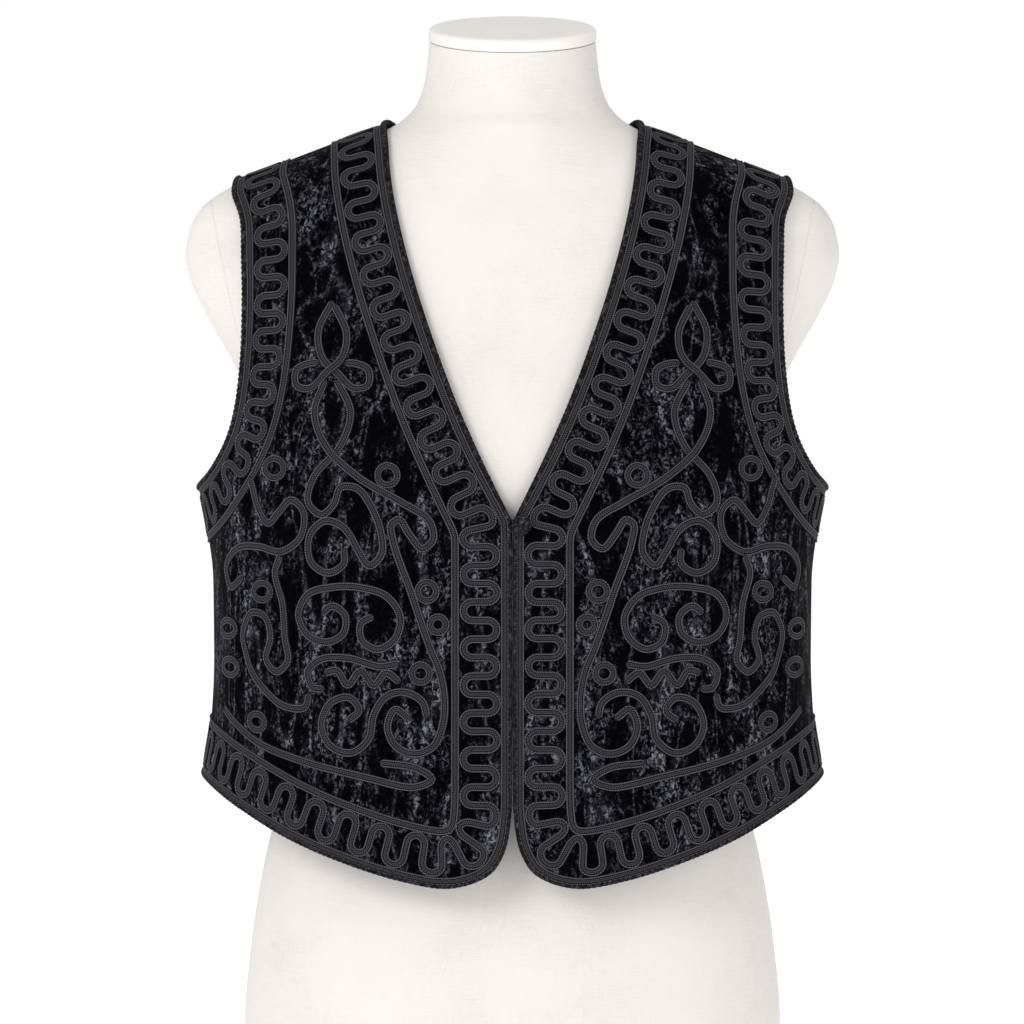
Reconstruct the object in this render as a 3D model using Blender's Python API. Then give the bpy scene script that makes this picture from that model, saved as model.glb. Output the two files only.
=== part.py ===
"""A velvet vest with laid braid, resting on a limbless linen dress form.

Metres, +Z up, the front towards -Y, the wearer's left at +X. The origin is on the form's flat bottom,
in line with the side seams and the centre front. The cloth lies on one smooth body of rings, the cut
edges are curves on that body, and each trim is laid on the cloth's own outer faces.
"""

import math

import bmesh
import bpy
import numpy as np
from mathutils import Vector
from mathutils.bvhtree import BVHTree

WALL = 0.0016  # velvet and its inner face together
SEAM_GAP = 0.0003
LAY_GAP = 0.0004  # between a trim and what it is laid on
BASE_STEP = 0.001  # spacing along a strand at which its base is held clear of what is under it
BASE_PLACES = (-0.06, 0.13, 0.31, 0.5, 0.69, 0.87, 1.06)  # and its places across, as shares of the width
CAP_TILT = math.radians(13.3)  # the neck is cut on a slope, lower in front
CAP_THICKNESS = 0.008
NECK_FOOT = 0.6637  # where the neck starts to lean with the cap
NECK_TOP = 0.7051
CAP_RIM = 0.0015  # how far the cap's edge is rounded
CAP_LIP = 0.0006  # how far the cap stands out past the neck

BRAID_WIDTH = 0.0052
BRAID_HEIGHT = 0.0016
RING_WIDTH = 0.0045
ROLL_WIDTH = 0.0033
ROLL_HEIGHT = 0.0024
MEANDER_PERIOD = 0.0235
MEANDER_GAP = 0.0055  # from the middle of a line to the middle of the serpentine's tips
EDGE_TO_ROLL = 0.0019
EDGE_TO_OUTER_LINE = 0.0062
EDGE_TO_MIDDLE = 0.0212
EDGE_TO_INNER_LINE = 0.0360
NARROW_SHARE = 0.72  # the roll's share of its full width down the centre front and round the hem
NARROW_RISE = (0.385, 0.440)  # heights between which it grows to its full width up the neckline
LOOP_STEP = 0.0008  # spacing of samples where a path is searched for loops
LOOP_SAMPLES = (8, 80)  # the shortest and longest loop, in samples
CORNER_EASE = 30  # rounds of averaging that ease a corner
LINE_SLACK = 0.0006  # how far a strand's straight runs may leave its curve
FINE = 0.0025  # spacing of the samples on a cut edge
WALK_STEP = 0.003  # longest single step of an edge moved inwards

BUTTON_RADIUS = 0.0063
BUTTON_PLACE = (0.0056, 0.3905)  # across and height

FRONT_CELLS = (12, 9, 12)  # outer faces across a front, up it below the underarm and above
BACK_CELLS = (10, 7, 11)  # the same for half the back
SHOULDER_CROWD = 1.35  # over 1, rows lie closer together towards the shoulder


def columns(names, *rows):
    return dict(zip(names.split(), np.array(rows, float).T))


# The cloth's outer face as level rings: half width, depth in front and behind, and squareness.
CLOTH = columns(
    "height half front back square",
    (0.120, 0.2045, 0.1405, 0.1125, 2.35),
    (0.222, 0.2035, 0.1390, 0.1100, 2.35),
    (0.260, 0.1985, 0.1380, 0.1080, 2.35),
    (0.300, 0.1965, 0.1370, 0.1070, 2.35),
    (0.350, 0.1970, 0.1370, 0.1080, 2.35),
    (0.385, 0.2010, 0.1360, 0.1100, 2.35),
    (0.413, 0.2055, 0.1330, 0.1120, 2.35),
    (0.450, 0.2065, 0.1250, 0.1140, 2.30),
    (0.500, 0.2080, 0.1090, 0.1150, 2.20),
    (0.540, 0.2160, 0.0955, 0.1120, 2.12),
    (0.568, 0.2200, 0.0860, 0.1060, 2.06),
    (0.590, 0.2140, 0.0775, 0.0980, 2.00),
    (0.602, 0.2030, 0.0730, 0.0920, 2.00),
    (0.613, 0.1825, 0.0690, 0.0860, 2.00),
    (0.623, 0.1565, 0.0660, 0.0800, 2.00),
    (0.633, 0.1305, 0.0630, 0.0740, 2.00),
    (0.643, 0.1040, 0.0605, 0.0690, 2.00),
    (0.652, 0.0805, 0.0590, 0.0650, 2.00),
    (0.662, 0.0720, 0.0575, 0.0620, 2.00),
)

# The dress form: hips, waist, chest, rounded arm stumps and neck.
FORM = columns(
    "height half front back square",
    (0.0000, 0.1770, 0.1180, 0.1020, 2.30),
    (0.0600, 0.1768, 0.1190, 0.1030, 2.30),
    (0.1150, 0.1720, 0.1170, 0.1030, 2.30),
    (0.1650, 0.1637, 0.1120, 0.0980, 2.30),
    (0.2220, 0.1500, 0.1040, 0.0900, 2.30),
    (0.2900, 0.1400, 0.0990, 0.0840, 2.30),
    (0.3500, 0.1470, 0.1120, 0.0900, 2.30),
    (0.4130, 0.1610, 0.1270, 0.1020, 2.30),
    (0.4500, 0.1680, 0.1200, 0.1080, 2.25),
    (0.4890, 0.1817, 0.1070, 0.1100, 2.20),
    (0.5280, 0.2030, 0.0945, 0.1080, 2.12),
    (0.5480, 0.2120, 0.0880, 0.1045, 2.08),
    (0.5640, 0.2152, 0.0825, 0.1010, 2.05),
    (0.5809, 0.2125, 0.0765, 0.0948, 2.00),
    (0.5940, 0.2058, 0.0715, 0.0890, 2.00),
    (0.6072, 0.1888, 0.0665, 0.0800, 2.00),
    (0.6198, 0.1560, 0.0628, 0.0725, 2.00),
    (0.6300, 0.1293, 0.0598, 0.0665, 2.00),
    (0.6398, 0.1030, 0.0573, 0.0608, 2.00),
    (0.6485, 0.0792, 0.0550, 0.0558, 2.00),
    (0.6558, 0.0691, 0.0510, 0.0548, 2.00),
    (0.6637, 0.0629, 0.0485, 0.0535, 2.00),
    (0.6795, 0.0576, 0.0465, 0.0510, 2.00),
    (0.7051, 0.0546, 0.0455, 0.0495, 2.00),
)

# The front neckline from the button up to the shoulder, then the back neckline to the middle.
NECKLINE = columns(
    "across height",
    (0.0003, 0.3935),
    (0.0193, 0.4320),
    (0.0362, 0.4700),
    (0.0504, 0.5080),
    (0.0631, 0.5465),
    (0.0733, 0.5850),
    (0.0785, 0.6120),
    (0.0812, 0.6370),
)
BACK_NECKLINE = columns("across height", (0.0640, 0.6420), (0.0350, 0.6350), (0.0, 0.6330))
NECK_POINT = (0.0810, 0.0, 0.6518)
SHOULDER_TIP = (0.1815, 0.0, 0.6134)
UNDERARM = (0.2055, 0.0, 0.4130)

# The rounded lower corner and hem of a front, then the hem behind.
HEM = columns(
    "across height",
    (0.0003, 0.2130),
    (0.0022, 0.1945),
    (0.0052, 0.1832),
    (0.0120, 0.1717),
    (0.0230, 0.1648),
    (0.0420, 0.1606),
    (0.0745, 0.1658),
    (0.1130, 0.1775),
    (0.1420, 0.1889),
    (0.1740, 0.2057),
    (0.1965, 0.2192),
)
HEM_SIDE = (0.2034, 0.0, 0.2235)
BACK_HEM = columns("across height", (0.1500, 0.2180), (0.0750, 0.2130), (0.0, 0.2120))
CORNER = 3  # the row of HEM at the middle of the rounded corner

# The armhole seen from the side: how far it is cut in front and behind, from the underarm up.
ARMHOLE = columns(
    "height front back",
    (0.4170, 0.0340, 0.0300),
    (0.4240, 0.0520, 0.0450),
    (0.4370, 0.0640, 0.0555),
    (0.4520, 0.0690, 0.0610),
    (0.4700, 0.0692, 0.0640),
    (0.5080, 0.0635, 0.0650),
    (0.5470, 0.0580, 0.0630),
    (0.5860, 0.0455, 0.0520),
    (0.6020, 0.0320, 0.0370),
    (0.6100, 0.0180, 0.0200),
)

# Soft folds: place across, top and bottom height, lean, width and depth, in front and behind.
FRONT_FOLDS = columns(
    "across top bottom lean width depth",
    (0.178, 0.420, 0.225, 0.00, 0.0110, 0.0030),
    (0.152, 0.390, 0.225, -0.06, 0.0120, 0.0022),
    (0.072, 0.470, 0.320, -0.35, 0.0110, 0.0028),
    (0.100, 0.600, 0.500, 0.10, 0.0100, 0.0022),
    (0.110, 0.330, 0.215, 0.05, 0.0130, 0.0020),
)
BACK_FOLDS = columns(
    "across top bottom lean width depth",
    (0.165, 0.420, 0.235, 0.04, 0.0130, 0.0030),
    (0.120, 0.480, 0.240, -0.05, 0.0140, 0.0026),
    (0.062, 0.400, 0.235, 0.05, 0.0130, 0.0028),
    (0.085, 0.600, 0.470, -0.10, 0.0120, 0.0020),
)
FOLD_CLEAR = (0.034, 0.062)  # the stiff bands keep folds off: none at the first distance, full at the second

# Braid laid on each front: points across and up, in millimetres, that a smooth strand passes through.
SCROLLS = {
    "leaf_outer": (
        *((115, 533), (124, 513), (121, 496), (111, 486), (101, 477), (92, 479), (92, 489), (101, 493), (107, 493)),
    ),
    "leaf_inner": (
        *((114, 530), (106, 512), (109, 496), (119, 486), (129, 477), (138, 479), (138, 489), (129, 493), (123, 493)),
    ),
    "stem_outer": (
        *((112, 482), (103, 462), (109, 441), (126, 421), (130, 405), (121, 397), (113, 404), (109, 414)),
        *((99, 414), (89, 402), (83, 387), (82, 373), (90, 365), (98, 375), (107, 389), (119, 393)),
        *((129, 383), (128, 367), (117, 360), (107, 366), (107, 376)),
    ),
    "stem_inner": (
        *((119, 482), (126, 462), (119, 441), (98, 421), (70, 405), (53, 394), (50, 382), (57, 376)),
        *((65, 385), (71, 394), (76, 391), (75, 381), (71, 367), (65, 351), (59, 333), (52, 313)),
        *((46, 298), (43, 281), (44, 265), (50, 251), (62, 246), (74, 251), (79, 263), (74, 274), (65, 268)),
    ),
    "horns": (
        *((121, 334), (114, 339), (106, 333), (107, 322), (117, 316), (130, 320), (136, 333), (130, 346)),
        *((114, 351), (96, 351), (80, 346), (71, 333), (74, 319), (85, 312), (95, 317), (96, 328), (88, 333)),
    ),
    "bar": ((72, 303), (84, 301), (104, 306), (121, 305), (130, 297), (127, 287), (119, 286)),
    "bar_zigzag": ((119, 296), (111, 298), (104, 289), (96, 298), (88, 289), (80, 297), (71, 291)),
    "bows": (
        *((104, 266), (97, 273), (103, 281), (115, 277), (121, 263), (115, 250), (102, 246), (91, 255)),
        *((88, 270), (80, 282), (68, 285), (57, 279), (54, 269)),
    ),
    "vine_side": (
        *((167, 420), (163, 402), (156, 391), (149, 398), (141, 406), (133, 398), (135, 383), (147, 373)),
        *((163, 376), (176, 374), (183, 361), (179, 349), (172, 356)),
    ),
    "bow_side": (
        *((147, 371), (151, 360), (146, 340), (144, 318), (142, 303), (149, 296), (156, 304), (153, 318), (157, 331)),
        *((166, 333), (172, 320), (169, 303), (159, 286), (144, 274), (132, 274), (129, 283)),
    ),
    "bar_hem": ((186, 270), (165, 251), (135, 240), (95, 231), (62, 225), (51, 230), (61, 237), (84, 240)),
}
RINGS = columns(
    "across height radius",
    (152, 426, 6.2),
    (79, 422, 6.2),
    (54, 349, 5.8),
    (47, 328, 5.0),
    (58, 297, 5.6),
    (159, 347, 5.4),
    (163, 263, 5.2),
    (181, 322, 5.2),
    (180, 297, 5.2),
)


def clear_scene():
    for thing in list(bpy.data.objects):
        bpy.data.objects.remove(thing, do_unlink=True)


def material(name, colour, roughness, metallic=0.0):
    made = bpy.data.materials.new(name)
    made.use_nodes = True
    shader = made.node_tree.nodes["Principled BSDF"]
    shader.inputs["Base Color"].default_value = (*colour, 1.0)
    shader.inputs["Roughness"].default_value = roughness
    shader.inputs["Metallic"].default_value = metallic
    return made


def eased(at, xs, ys):
    """A smooth curve through a table that never swings past its rows: cubic pieces with limited slopes."""
    at = np.clip(at, xs[0], xs[-1])
    step = np.diff(xs)
    slope = np.diff(ys) / step
    same = slope[1:] * slope[:-1] > 0
    low = np.where(same, slope[:-1], 1.0)
    high = np.where(same, slope[1:], 1.0)
    near = 2 * step[1:] + step[:-1]
    far = step[1:] + 2 * step[:-1]
    tangent = np.empty_like(ys)
    tangent[1:-1] = np.where(same, (near + far) / (near / low + far / high), 0.0)
    tangent[0] = slope[0]
    tangent[-1] = slope[-1]
    piece = np.clip(np.searchsorted(xs, at) - 1, 0, len(step) - 1)
    t = (at - xs[piece]) / step[piece]
    ends = (2 * t**3 - 3 * t**2 + 1) * ys[piece] + (3 * t**2 - 2 * t**3) * ys[piece + 1]
    bends = (t**3 - 2 * t**2 + t) * tangent[piece] + (t**3 - t**2) * tangent[piece + 1]
    return ends + bends * step[piece]


def ring_sizes(table, height):
    return [eased(height, table["height"], table[name]) for name in ("half", "front", "back", "square")]


def outside(points):
    """How far points lie outside the cloth's rings, as a share of the ring: 0 on the surface."""
    half, front, back, square = ring_sizes(CLOTH, points[..., 2])
    depth = np.where(points[..., 1] < 0, front, back)
    across = np.abs(points[..., 0]) / half
    deep = np.abs(points[..., 1]) / depth
    return (across**square + deep**square) ** (1 / square) - 1


def steepest(points):
    nudge = 2e-5
    parts = []
    for axis in np.eye(3) * nudge:
        parts.append((outside(points + axis) - outside(points - axis)) / (2 * nudge))
    return np.stack(parts, axis=-1)


def outward(points):
    lean = steepest(points)
    return lean / np.linalg.norm(lean, axis=-1, keepdims=True)


def settle(points, rounds=3):
    """Points moved straight onto the cloth's smooth surface."""
    points = np.array(points, float)
    for _ in range(rounds):
        lean = steepest(points)
        points -= (outside(points) / (lean**2).sum(axis=-1))[..., None] * lean
    return points


def on_front(across, height):
    """The point of the cloth's front face seen at this place from the front."""
    across = np.asarray(across, float)
    height = np.asarray(height, float)
    half, front, _, square = ring_sizes(CLOTH, height)
    share = np.clip(np.abs(across) / half, 0, 1)
    return np.stack([across, -front * (1 - share**square) ** (1 / square), height], axis=-1)


def on_back(across, height):
    point = on_front(across, height)
    _, front, back, _ = ring_sizes(CLOTH, point[..., 2])
    point[..., 1] *= -back / front
    return point


def on_side(deep, height):
    """The point of the cloth's +X face seen at this depth and height from the side."""
    half, front, back, square = ring_sizes(CLOTH, height)
    share = np.abs(deep) / np.where(deep < 0, front, back)
    return np.stack([half * (1 - share**square) ** (1 / square), deep, height], axis=-1)


def lengths_along(path):
    return np.r_[0, np.cumsum(np.linalg.norm(np.diff(path, axis=0), axis=1))]


def resample(path, count):
    return at_shares(path, np.linspace(0, 1, count))


def at_shares(path, shares):
    """The points at these shares of a path's length."""
    along = lengths_along(path)
    return np.stack([np.interp(shares * along[-1], along, path[:, k]) for k in range(3)], axis=1)


def smooth_path(points, step, closed=False):
    """A smooth curve through the points, sampled evenly: cubic pieces timed by the root of each chord."""
    points = np.asarray(points, float)
    if closed:
        points = np.vstack([points, points[:1]])
    reach = np.sqrt(np.linalg.norm(np.diff(points, axis=0), axis=1))
    slope = np.diff(points, axis=0) / reach[:, None]
    before = np.vstack([slope[-1:] if closed else slope[:1], slope])
    after = np.vstack([slope, slope[:1] if closed else slope[-1:]])
    reach_before = np.r_[reach[-1] if closed else reach[0], reach][:, None]
    reach_after = np.r_[reach, reach[0] if closed else reach[-1]][:, None]
    tangent = (before * reach_after + after * reach_before) / (reach_before + reach_after)
    times = np.r_[0, np.cumsum(reach)]
    at = np.linspace(0, times[-1], 24 * len(reach) + 1)
    piece = np.clip(np.searchsorted(times, at, side="right") - 1, 0, len(reach) - 1)
    t = ((at - times[piece]) / reach[piece])[:, None]
    ends = (2 * t**3 - 3 * t**2 + 1) * points[piece] + (3 * t**2 - 2 * t**3) * points[piece + 1]
    bends = (t**3 - 2 * t**2 + t) * tangent[piece] + (t**3 - t**2) * tangent[piece + 1]
    path = ends + bends * reach[piece][:, None]
    count = max(3, round(lengths_along(path)[-1] / step) + 1)
    return resample(path, count)


def between(path, start, end):
    """The stretch of a path from the sample nearest one point to the sample nearest another."""
    first = np.linalg.norm(path - start, axis=1).argmin()
    last = np.linalg.norm(path - end, axis=1).argmin()
    return path[first : last + 1] if first < last else path[last : first + 1][::-1]


def mirrored(points):
    return points * (-1, 1, 1)


def neck_edge():
    """The whole neckline, from the +X front's lowest point up, round the back and down the other side."""
    front = on_front(NECKLINE["across"], NECKLINE["height"])
    behind = on_back(BACK_NECKLINE["across"], BACK_NECKLINE["height"])
    half = np.vstack([front, NECK_POINT, behind])
    return settle(smooth_path(np.vstack([half, mirrored(half[-2::-1])]), FINE))


def hem_edge():
    """The whole lower edge, from the +X front's rounded corner round the back to the other front's."""
    front = on_front(HEM["across"], HEM["height"])
    behind = on_back(BACK_HEM["across"], BACK_HEM["height"])
    half = np.vstack([front, HEM_SIDE, behind])
    return settle(smooth_path(np.vstack([half, mirrored(half[-2::-1])]), FINE))


def armhole_edge():
    """The +X armhole, from the underarm up its front, over the shoulder and down behind."""
    front = on_side(-ARMHOLE["front"], ARMHOLE["height"])
    behind = on_side(ARMHOLE["back"], ARMHOLE["height"])
    points = np.vstack([UNDERARM, front, SHOULDER_TIP, behind[::-1]])
    return settle(smooth_path(points, FINE, closed=True))


def border_edge():
    """The whole outer edge as one closed path: neckline, centre front, hem and back to the start."""
    neck = neck_edge()
    hem = hem_edge()
    straight = settle(resample(np.vstack([neck[0], hem[0]]), 120))
    other = mirrored(straight)
    return np.vstack([neck[::-1][:-1], straight[:-1], hem[:-1], other[::-1][:-1]])


def walk_in(path, distance):
    """A closed path moved sideways over the surface, away from the cut edge, in short steps."""
    distance = np.broadcast_to(distance, len(path))[:, None]
    steps = math.ceil(distance.max() / WALK_STEP)
    for _ in range(steps):
        side = np.cross(outward(path), np.roll(path, -1, axis=0) - np.roll(path, 1, axis=0))
        side /= np.linalg.norm(side, axis=1, keepdims=True)
        moved = settle(path + side * distance / steps)
        path = 0.5 * moved + 0.25 * (np.roll(moved, 1, axis=0) + np.roll(moved, -1, axis=0))
        path = settle(path)
    return path


def patch(bottom, top, left, right, shares):
    """A grid of surface points inside four edge paths: each point mixes the edges, then settles."""
    left, right = at_shares(left, shares), at_shares(right, shares)
    across = np.linspace(0, 1, len(bottom))[None, :, None]
    up = shares[:, None, None]
    mixed = (1 - up) * bottom[None] + up * top[None] + (1 - across) * left[:, None] + across * right[:, None]
    corners = (1 - up) * ((1 - across) * bottom[0] + across * bottom[-1])
    corners = corners + up * ((1 - across) * top[0] + across * top[-1])
    grid = settle(mixed - corners, 8)
    for edge, path in ((np.s_[0], bottom), (np.s_[-1], top), (np.s_[:, 0], left), (np.s_[:, -1], right)):
        grid[edge] = path
    return grid


def level_row(start, end, behind=False):
    """A path round a quarter of the body, from the middle to the side."""
    turn = np.linspace(0, math.pi / 2, 200)
    height = np.linspace(start, end, 200)
    half, front, back, square = ring_sizes(CLOTH, height)
    across = half * np.sin(turn) ** (2 / square)
    deep = np.cos(turn) ** (2 / square) * np.where(behind, back, -front)
    return np.stack([across, deep, height], axis=1)


def row_shares(low, high):
    """Shares up the body and up the yoke at which the rows of faces lie."""
    return np.linspace(0, 1, low + 1), 1 - (1 - np.linspace(0, 1, high + 1)) ** SHOULDER_CROWD


def front_grid():
    """The +X front's outer points, rows from the hem to the shoulder."""
    across = FRONT_CELLS[0] + 1
    low, high = row_shares(*FRONT_CELLS[1:])
    neck, hem, armhole = neck_edge(), hem_edge(), armhole_edge()
    corner = on_front(HEM["across"][CORNER], HEM["height"][CORNER])
    inner = np.vstack([between(hem, corner, hem[0]), neck[0]])
    side = settle(np.linspace(HEM_SIDE, UNDERARM, 100))
    row = resample(level_row(NECKLINE["height"][0], UNDERARM[2]), across)
    row[0] = neck[0]
    body = patch(resample(between(hem, corner, HEM_SIDE), across), row, inner, side, low)
    ridge = resample(settle(np.linspace(NECK_POINT, SHOULDER_TIP, 100)), across)
    front_armhole = between(armhole[: len(armhole) // 2 + 40], UNDERARM, SHOULDER_TIP)
    front_neck = between(neck[: len(neck) // 2], neck[0], NECK_POINT)
    return np.vstack([body, patch(row, ridge, front_neck, front_armhole, high)[1:]])


def back_grid():
    """The whole back's outer points, from the -X side to the +X side."""
    across = BACK_CELLS[0] + 1
    low, high = row_shares(*BACK_CELLS[1:])
    neck, hem, armhole = neck_edge(), hem_edge(), armhole_edge()
    middle_hem = on_back(0.0, BACK_HEM["height"][-1])
    middle_neck = on_back(0.0, BACK_NECKLINE["height"][-1])
    heights = np.linspace(middle_hem[2], UNDERARM[2], 100)
    middle_low = on_back(0 * heights, heights)
    heights = np.linspace(UNDERARM[2], middle_neck[2], 100)
    middle_high = on_back(0 * heights, heights)
    side = settle(np.linspace(HEM_SIDE, UNDERARM, 100))
    row = resample(level_row(UNDERARM[2], UNDERARM[2], behind=True), across)
    half_hem = hem[len(hem) // 2 :: -1][::-1]
    body = patch(resample(between(half_hem, middle_hem, HEM_SIDE), across), row, middle_low, side, low)
    half_neck = neck[: len(neck) // 2 + 1]
    ridge = settle(np.linspace(NECK_POINT, SHOULDER_TIP, 100))
    neck_cells = BACK_CELLS[0] // 2
    top = np.vstack(
        [
            resample(between(half_neck, middle_neck, NECK_POINT), neck_cells + 1)[:-1],
            resample(ridge, across - neck_cells),
        ]
    )
    back_armhole = between(armhole[len(armhole) // 2 - 40 :], UNDERARM, SHOULDER_TIP)
    yoke = patch(row, top, middle_high, back_armhole, high)
    half = np.vstack([body, yoke[1:]])
    return np.hstack([mirrored(half[:, :0:-1]), half])


def folded(grid, folds, edges):
    """The grid with its folds: soft ridges along leaning lines, fading out at both ends and at the bands."""
    across = np.abs(grid[..., 0])
    height = grid[..., 2]
    rise = np.zeros(across.shape)
    for place, top, bottom, lean, width, depth in zip(*folds.values()):
        off = across - place - lean * (height - (top + bottom) / 2)
        run = np.clip((height - bottom) / (top - bottom), 0, 1)
        rise += depth * np.exp(-((off / width) ** 2)) * np.sin(math.pi * run) ** 2
    flat = grid.reshape(-1, 3)
    near = np.min(np.linalg.norm(flat[:, None] - edges[None], axis=2), axis=1).reshape(across.shape)
    ease = np.clip((near - FOLD_CLEAR[0]) / (FOLD_CLEAR[1] - FOLD_CLEAR[0]), 0, 1)
    ease = ease * ease * (3 - 2 * ease)
    return grid + outward(grid) * (rise * ease)[..., None]


def parted(grid, side):
    """The seam at the side plane opened by half its gap: side is -1 in front and 1 behind."""
    grid = grid.copy()
    grid[..., 1] = side * np.maximum(side * grid[..., 1], SEAM_GAP / 2)
    return grid


def quads(rows, cols, start, paired):
    """The triangles of a grid. On a paired grid the two halves are cut along mirrored diagonals."""
    faces = []
    for r in range(rows - 1):
        for c in range(cols - 1):
            a = start + r * cols + c
            b, d, e = a + 1, a + cols, a + cols + 1
            other = paired and c < (cols - 1) // 2
            faces += [(a, b, e), (a, e, d)] if other else [(a, b, d), (b, e, d)]
    return faces


def mesh_object(name, points, faces, made):
    mesh = bpy.data.meshes.new(name)
    mesh.from_pydata([tuple(p) for p in points], [], faces)
    work = bmesh.new()
    work.from_mesh(mesh)
    bmesh.ops.recalc_face_normals(work, faces=work.faces)
    if work.calc_volume(signed=True) < 0:
        bmesh.ops.reverse_faces(work, faces=work.faces)
    work.to_mesh(mesh)
    work.free()
    mesh.materials.append(made)
    thing = bpy.data.objects.new(name, mesh)
    bpy.context.scene.collection.objects.link(thing)
    return thing


def cloth_panel(name, outer, seam_side, made):
    """A cloth wall: a fine outer face, an inner face with half as many columns, and the rim between."""
    paired = seam_side > 0
    inner = parted(outer - outward(outer) * WALL, seam_side)[:, ::2]
    outer = parted(outer, seam_side)
    rows, cols = outer.shape[:2]
    in_cols = inner.shape[1]
    start = rows * cols
    faces = quads(rows, cols, 0, paired) + quads(rows, in_cols, start, paired)
    for r in range(rows - 1):
        for c, in_c in ((0, 0), (cols - 1, in_cols - 1)):
            a, b = r * cols + c, start + r * in_cols + in_c
            faces += [(a, b, b + in_cols), (a, b + in_cols, a + cols)]
    for r in (0, rows - 1):
        for c in range(in_cols - 1):
            a, b = r * cols + 2 * c, start + r * in_cols + c
            faces += [(a, b, a + 1), (a + 1, b, b + 1), (a + 1, b + 1, a + 2)]
    points = np.vstack([outer.reshape(-1, 3), inner.reshape(-1, 3)])
    mesh_object(name, points, faces, made)
    return outer.reshape(-1, 3), quads(rows, cols, 0, paired)


class Ground:
    """The faces that trims are laid on, one on another: the cloth first, then each strand laid so far."""

    def __init__(self):
        self.points = []
        self.faces = []
        self.tree = None

    def add(self, points, faces):
        start = len(self.points)
        self.points += [Vector(p) for p in points]
        self.faces += [tuple(start + k for k in face) for face in faces]
        self.tree = None

    def rise(self, points, normals):
        """How high the top of the pile is over each smooth surface point, along its normal."""
        if self.tree is None:
            self.tree = BVHTree.FromPolygons(self.points, self.faces)
        reach = 0.02
        found = []
        for point, normal in zip(points, normals):
            start = Vector(point + normal * reach)
            hit = self.tree.ray_cast(start, Vector(-normal), 2 * reach)
            if hit[0] is None:
                nearest = self.tree.find_nearest(Vector(point))[0]
                found.append((nearest - Vector(point)).dot(Vector(normal)))
            else:
                found.append(reach - hit[3])
        return np.array(found)


def lay_strand(name, path, width, height, ground, made, closed=False):
    """A strand of flat braid on the pile: a low ridge whose two lower edges follow what lies under them."""
    path = settle(path)
    count = len(path)
    ahead = np.roll(path, -1, axis=0) - np.roll(path, 1, axis=0)
    if not closed:
        ahead[0] = path[1] - path[0]
        ahead[-1] = path[-1] - path[-2]
    normal = outward(path)
    side = np.cross(normal, ahead)
    width = np.broadcast_to(width, count)[:, None]
    side *= width / 2 / np.linalg.norm(side, axis=1, keepdims=True)
    rails = [settle(path + side), settle(path - side), path]
    normals = [outward(rail) for rail in rails]
    lifts = [ground.rise(rail, up) + LAY_GAP for rail, up in zip(rails, normals)]
    lift = np.max(lifts, axis=0)
    spans = count if closed else count - 1
    nxt = (np.arange(spans) + 1) % count
    longest = np.linalg.norm(path[nxt] - path[:spans], axis=1).max()
    share, over = np.meshgrid(np.linspace(0, 1, math.ceil(longest / BASE_STEP) + 1), BASE_PLACES)
    share, over = share.reshape(-1, 1, 1), over.reshape(-1, 1, 1)
    for _ in range(3):
        lower = [rail + up * lift[:, None] for rail, up in zip(rails[:2], normals)]
        lifted = (1 - over) * lower[0] + over * lower[1]
        middle = (1 - share) * lifted[:, :spans] + share * lifted[:, nxt]
        base = settle(middle.reshape(-1, 3))
        base_up = outward(base)
        room = ((middle.reshape(-1, 3) - base) * base_up).sum(axis=1) - ground.rise(base, base_up)
        need = np.maximum(LAY_GAP - room, 0).reshape(-1, spans).max(axis=0)
        short = np.zeros(count)
        np.maximum.at(short, np.arange(spans), need)
        np.maximum.at(short, nxt, need)
        lift = lift + short
    tops = path + normals[2] * (lift + height)[:, None]
    left = rails[0] + normals[0] * lift[:, None]
    right = rails[1] + normals[1] * lift[:, None]
    points = np.stack([left, tops, right], axis=1).reshape(-1, 3)
    faces = []
    for k in range(spans):
        a, b = 3 * k, 3 * nxt[k]
        for one, two in ((0, 1), (1, 2), (2, 0)):
            faces += [(a + one, a + two, b + two), (a + one, b + two, b + one)]
    if not closed:
        last = 3 * (count - 1)
        faces += [(0, 2, 1), (last, last + 1, last + 2)]
    faces = [tuple(int(k) for k in face) for face in faces]
    mesh_object(name, points, faces, made)
    ground.add(points, faces)


def thinned(path, slack, closed=False):
    """The fewest samples of a path that keep every dropped one within the slack."""
    ring = np.vstack([path, path[:1]]) if closed else path
    last = len(ring) - 1
    kept = {0, last // 2, last}
    open_spans = [(0, last // 2), (last // 2, last)]
    while open_spans:
        low, high = open_spans.pop()
        if high - low < 2:
            continue
        chord = ring[high] - ring[low]
        rest = ring[low + 1 : high] - ring[low]
        along = rest @ chord / (chord @ chord)
        off = np.linalg.norm(rest - along[:, None] * chord, axis=1)
        if off.max() > slack:
            cut = low + 1 + int(off.argmax())
            kept.add(cut)
            open_spans += [(low, cut), (cut, high)]
    return path[sorted(kept - {len(path)})]


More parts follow.
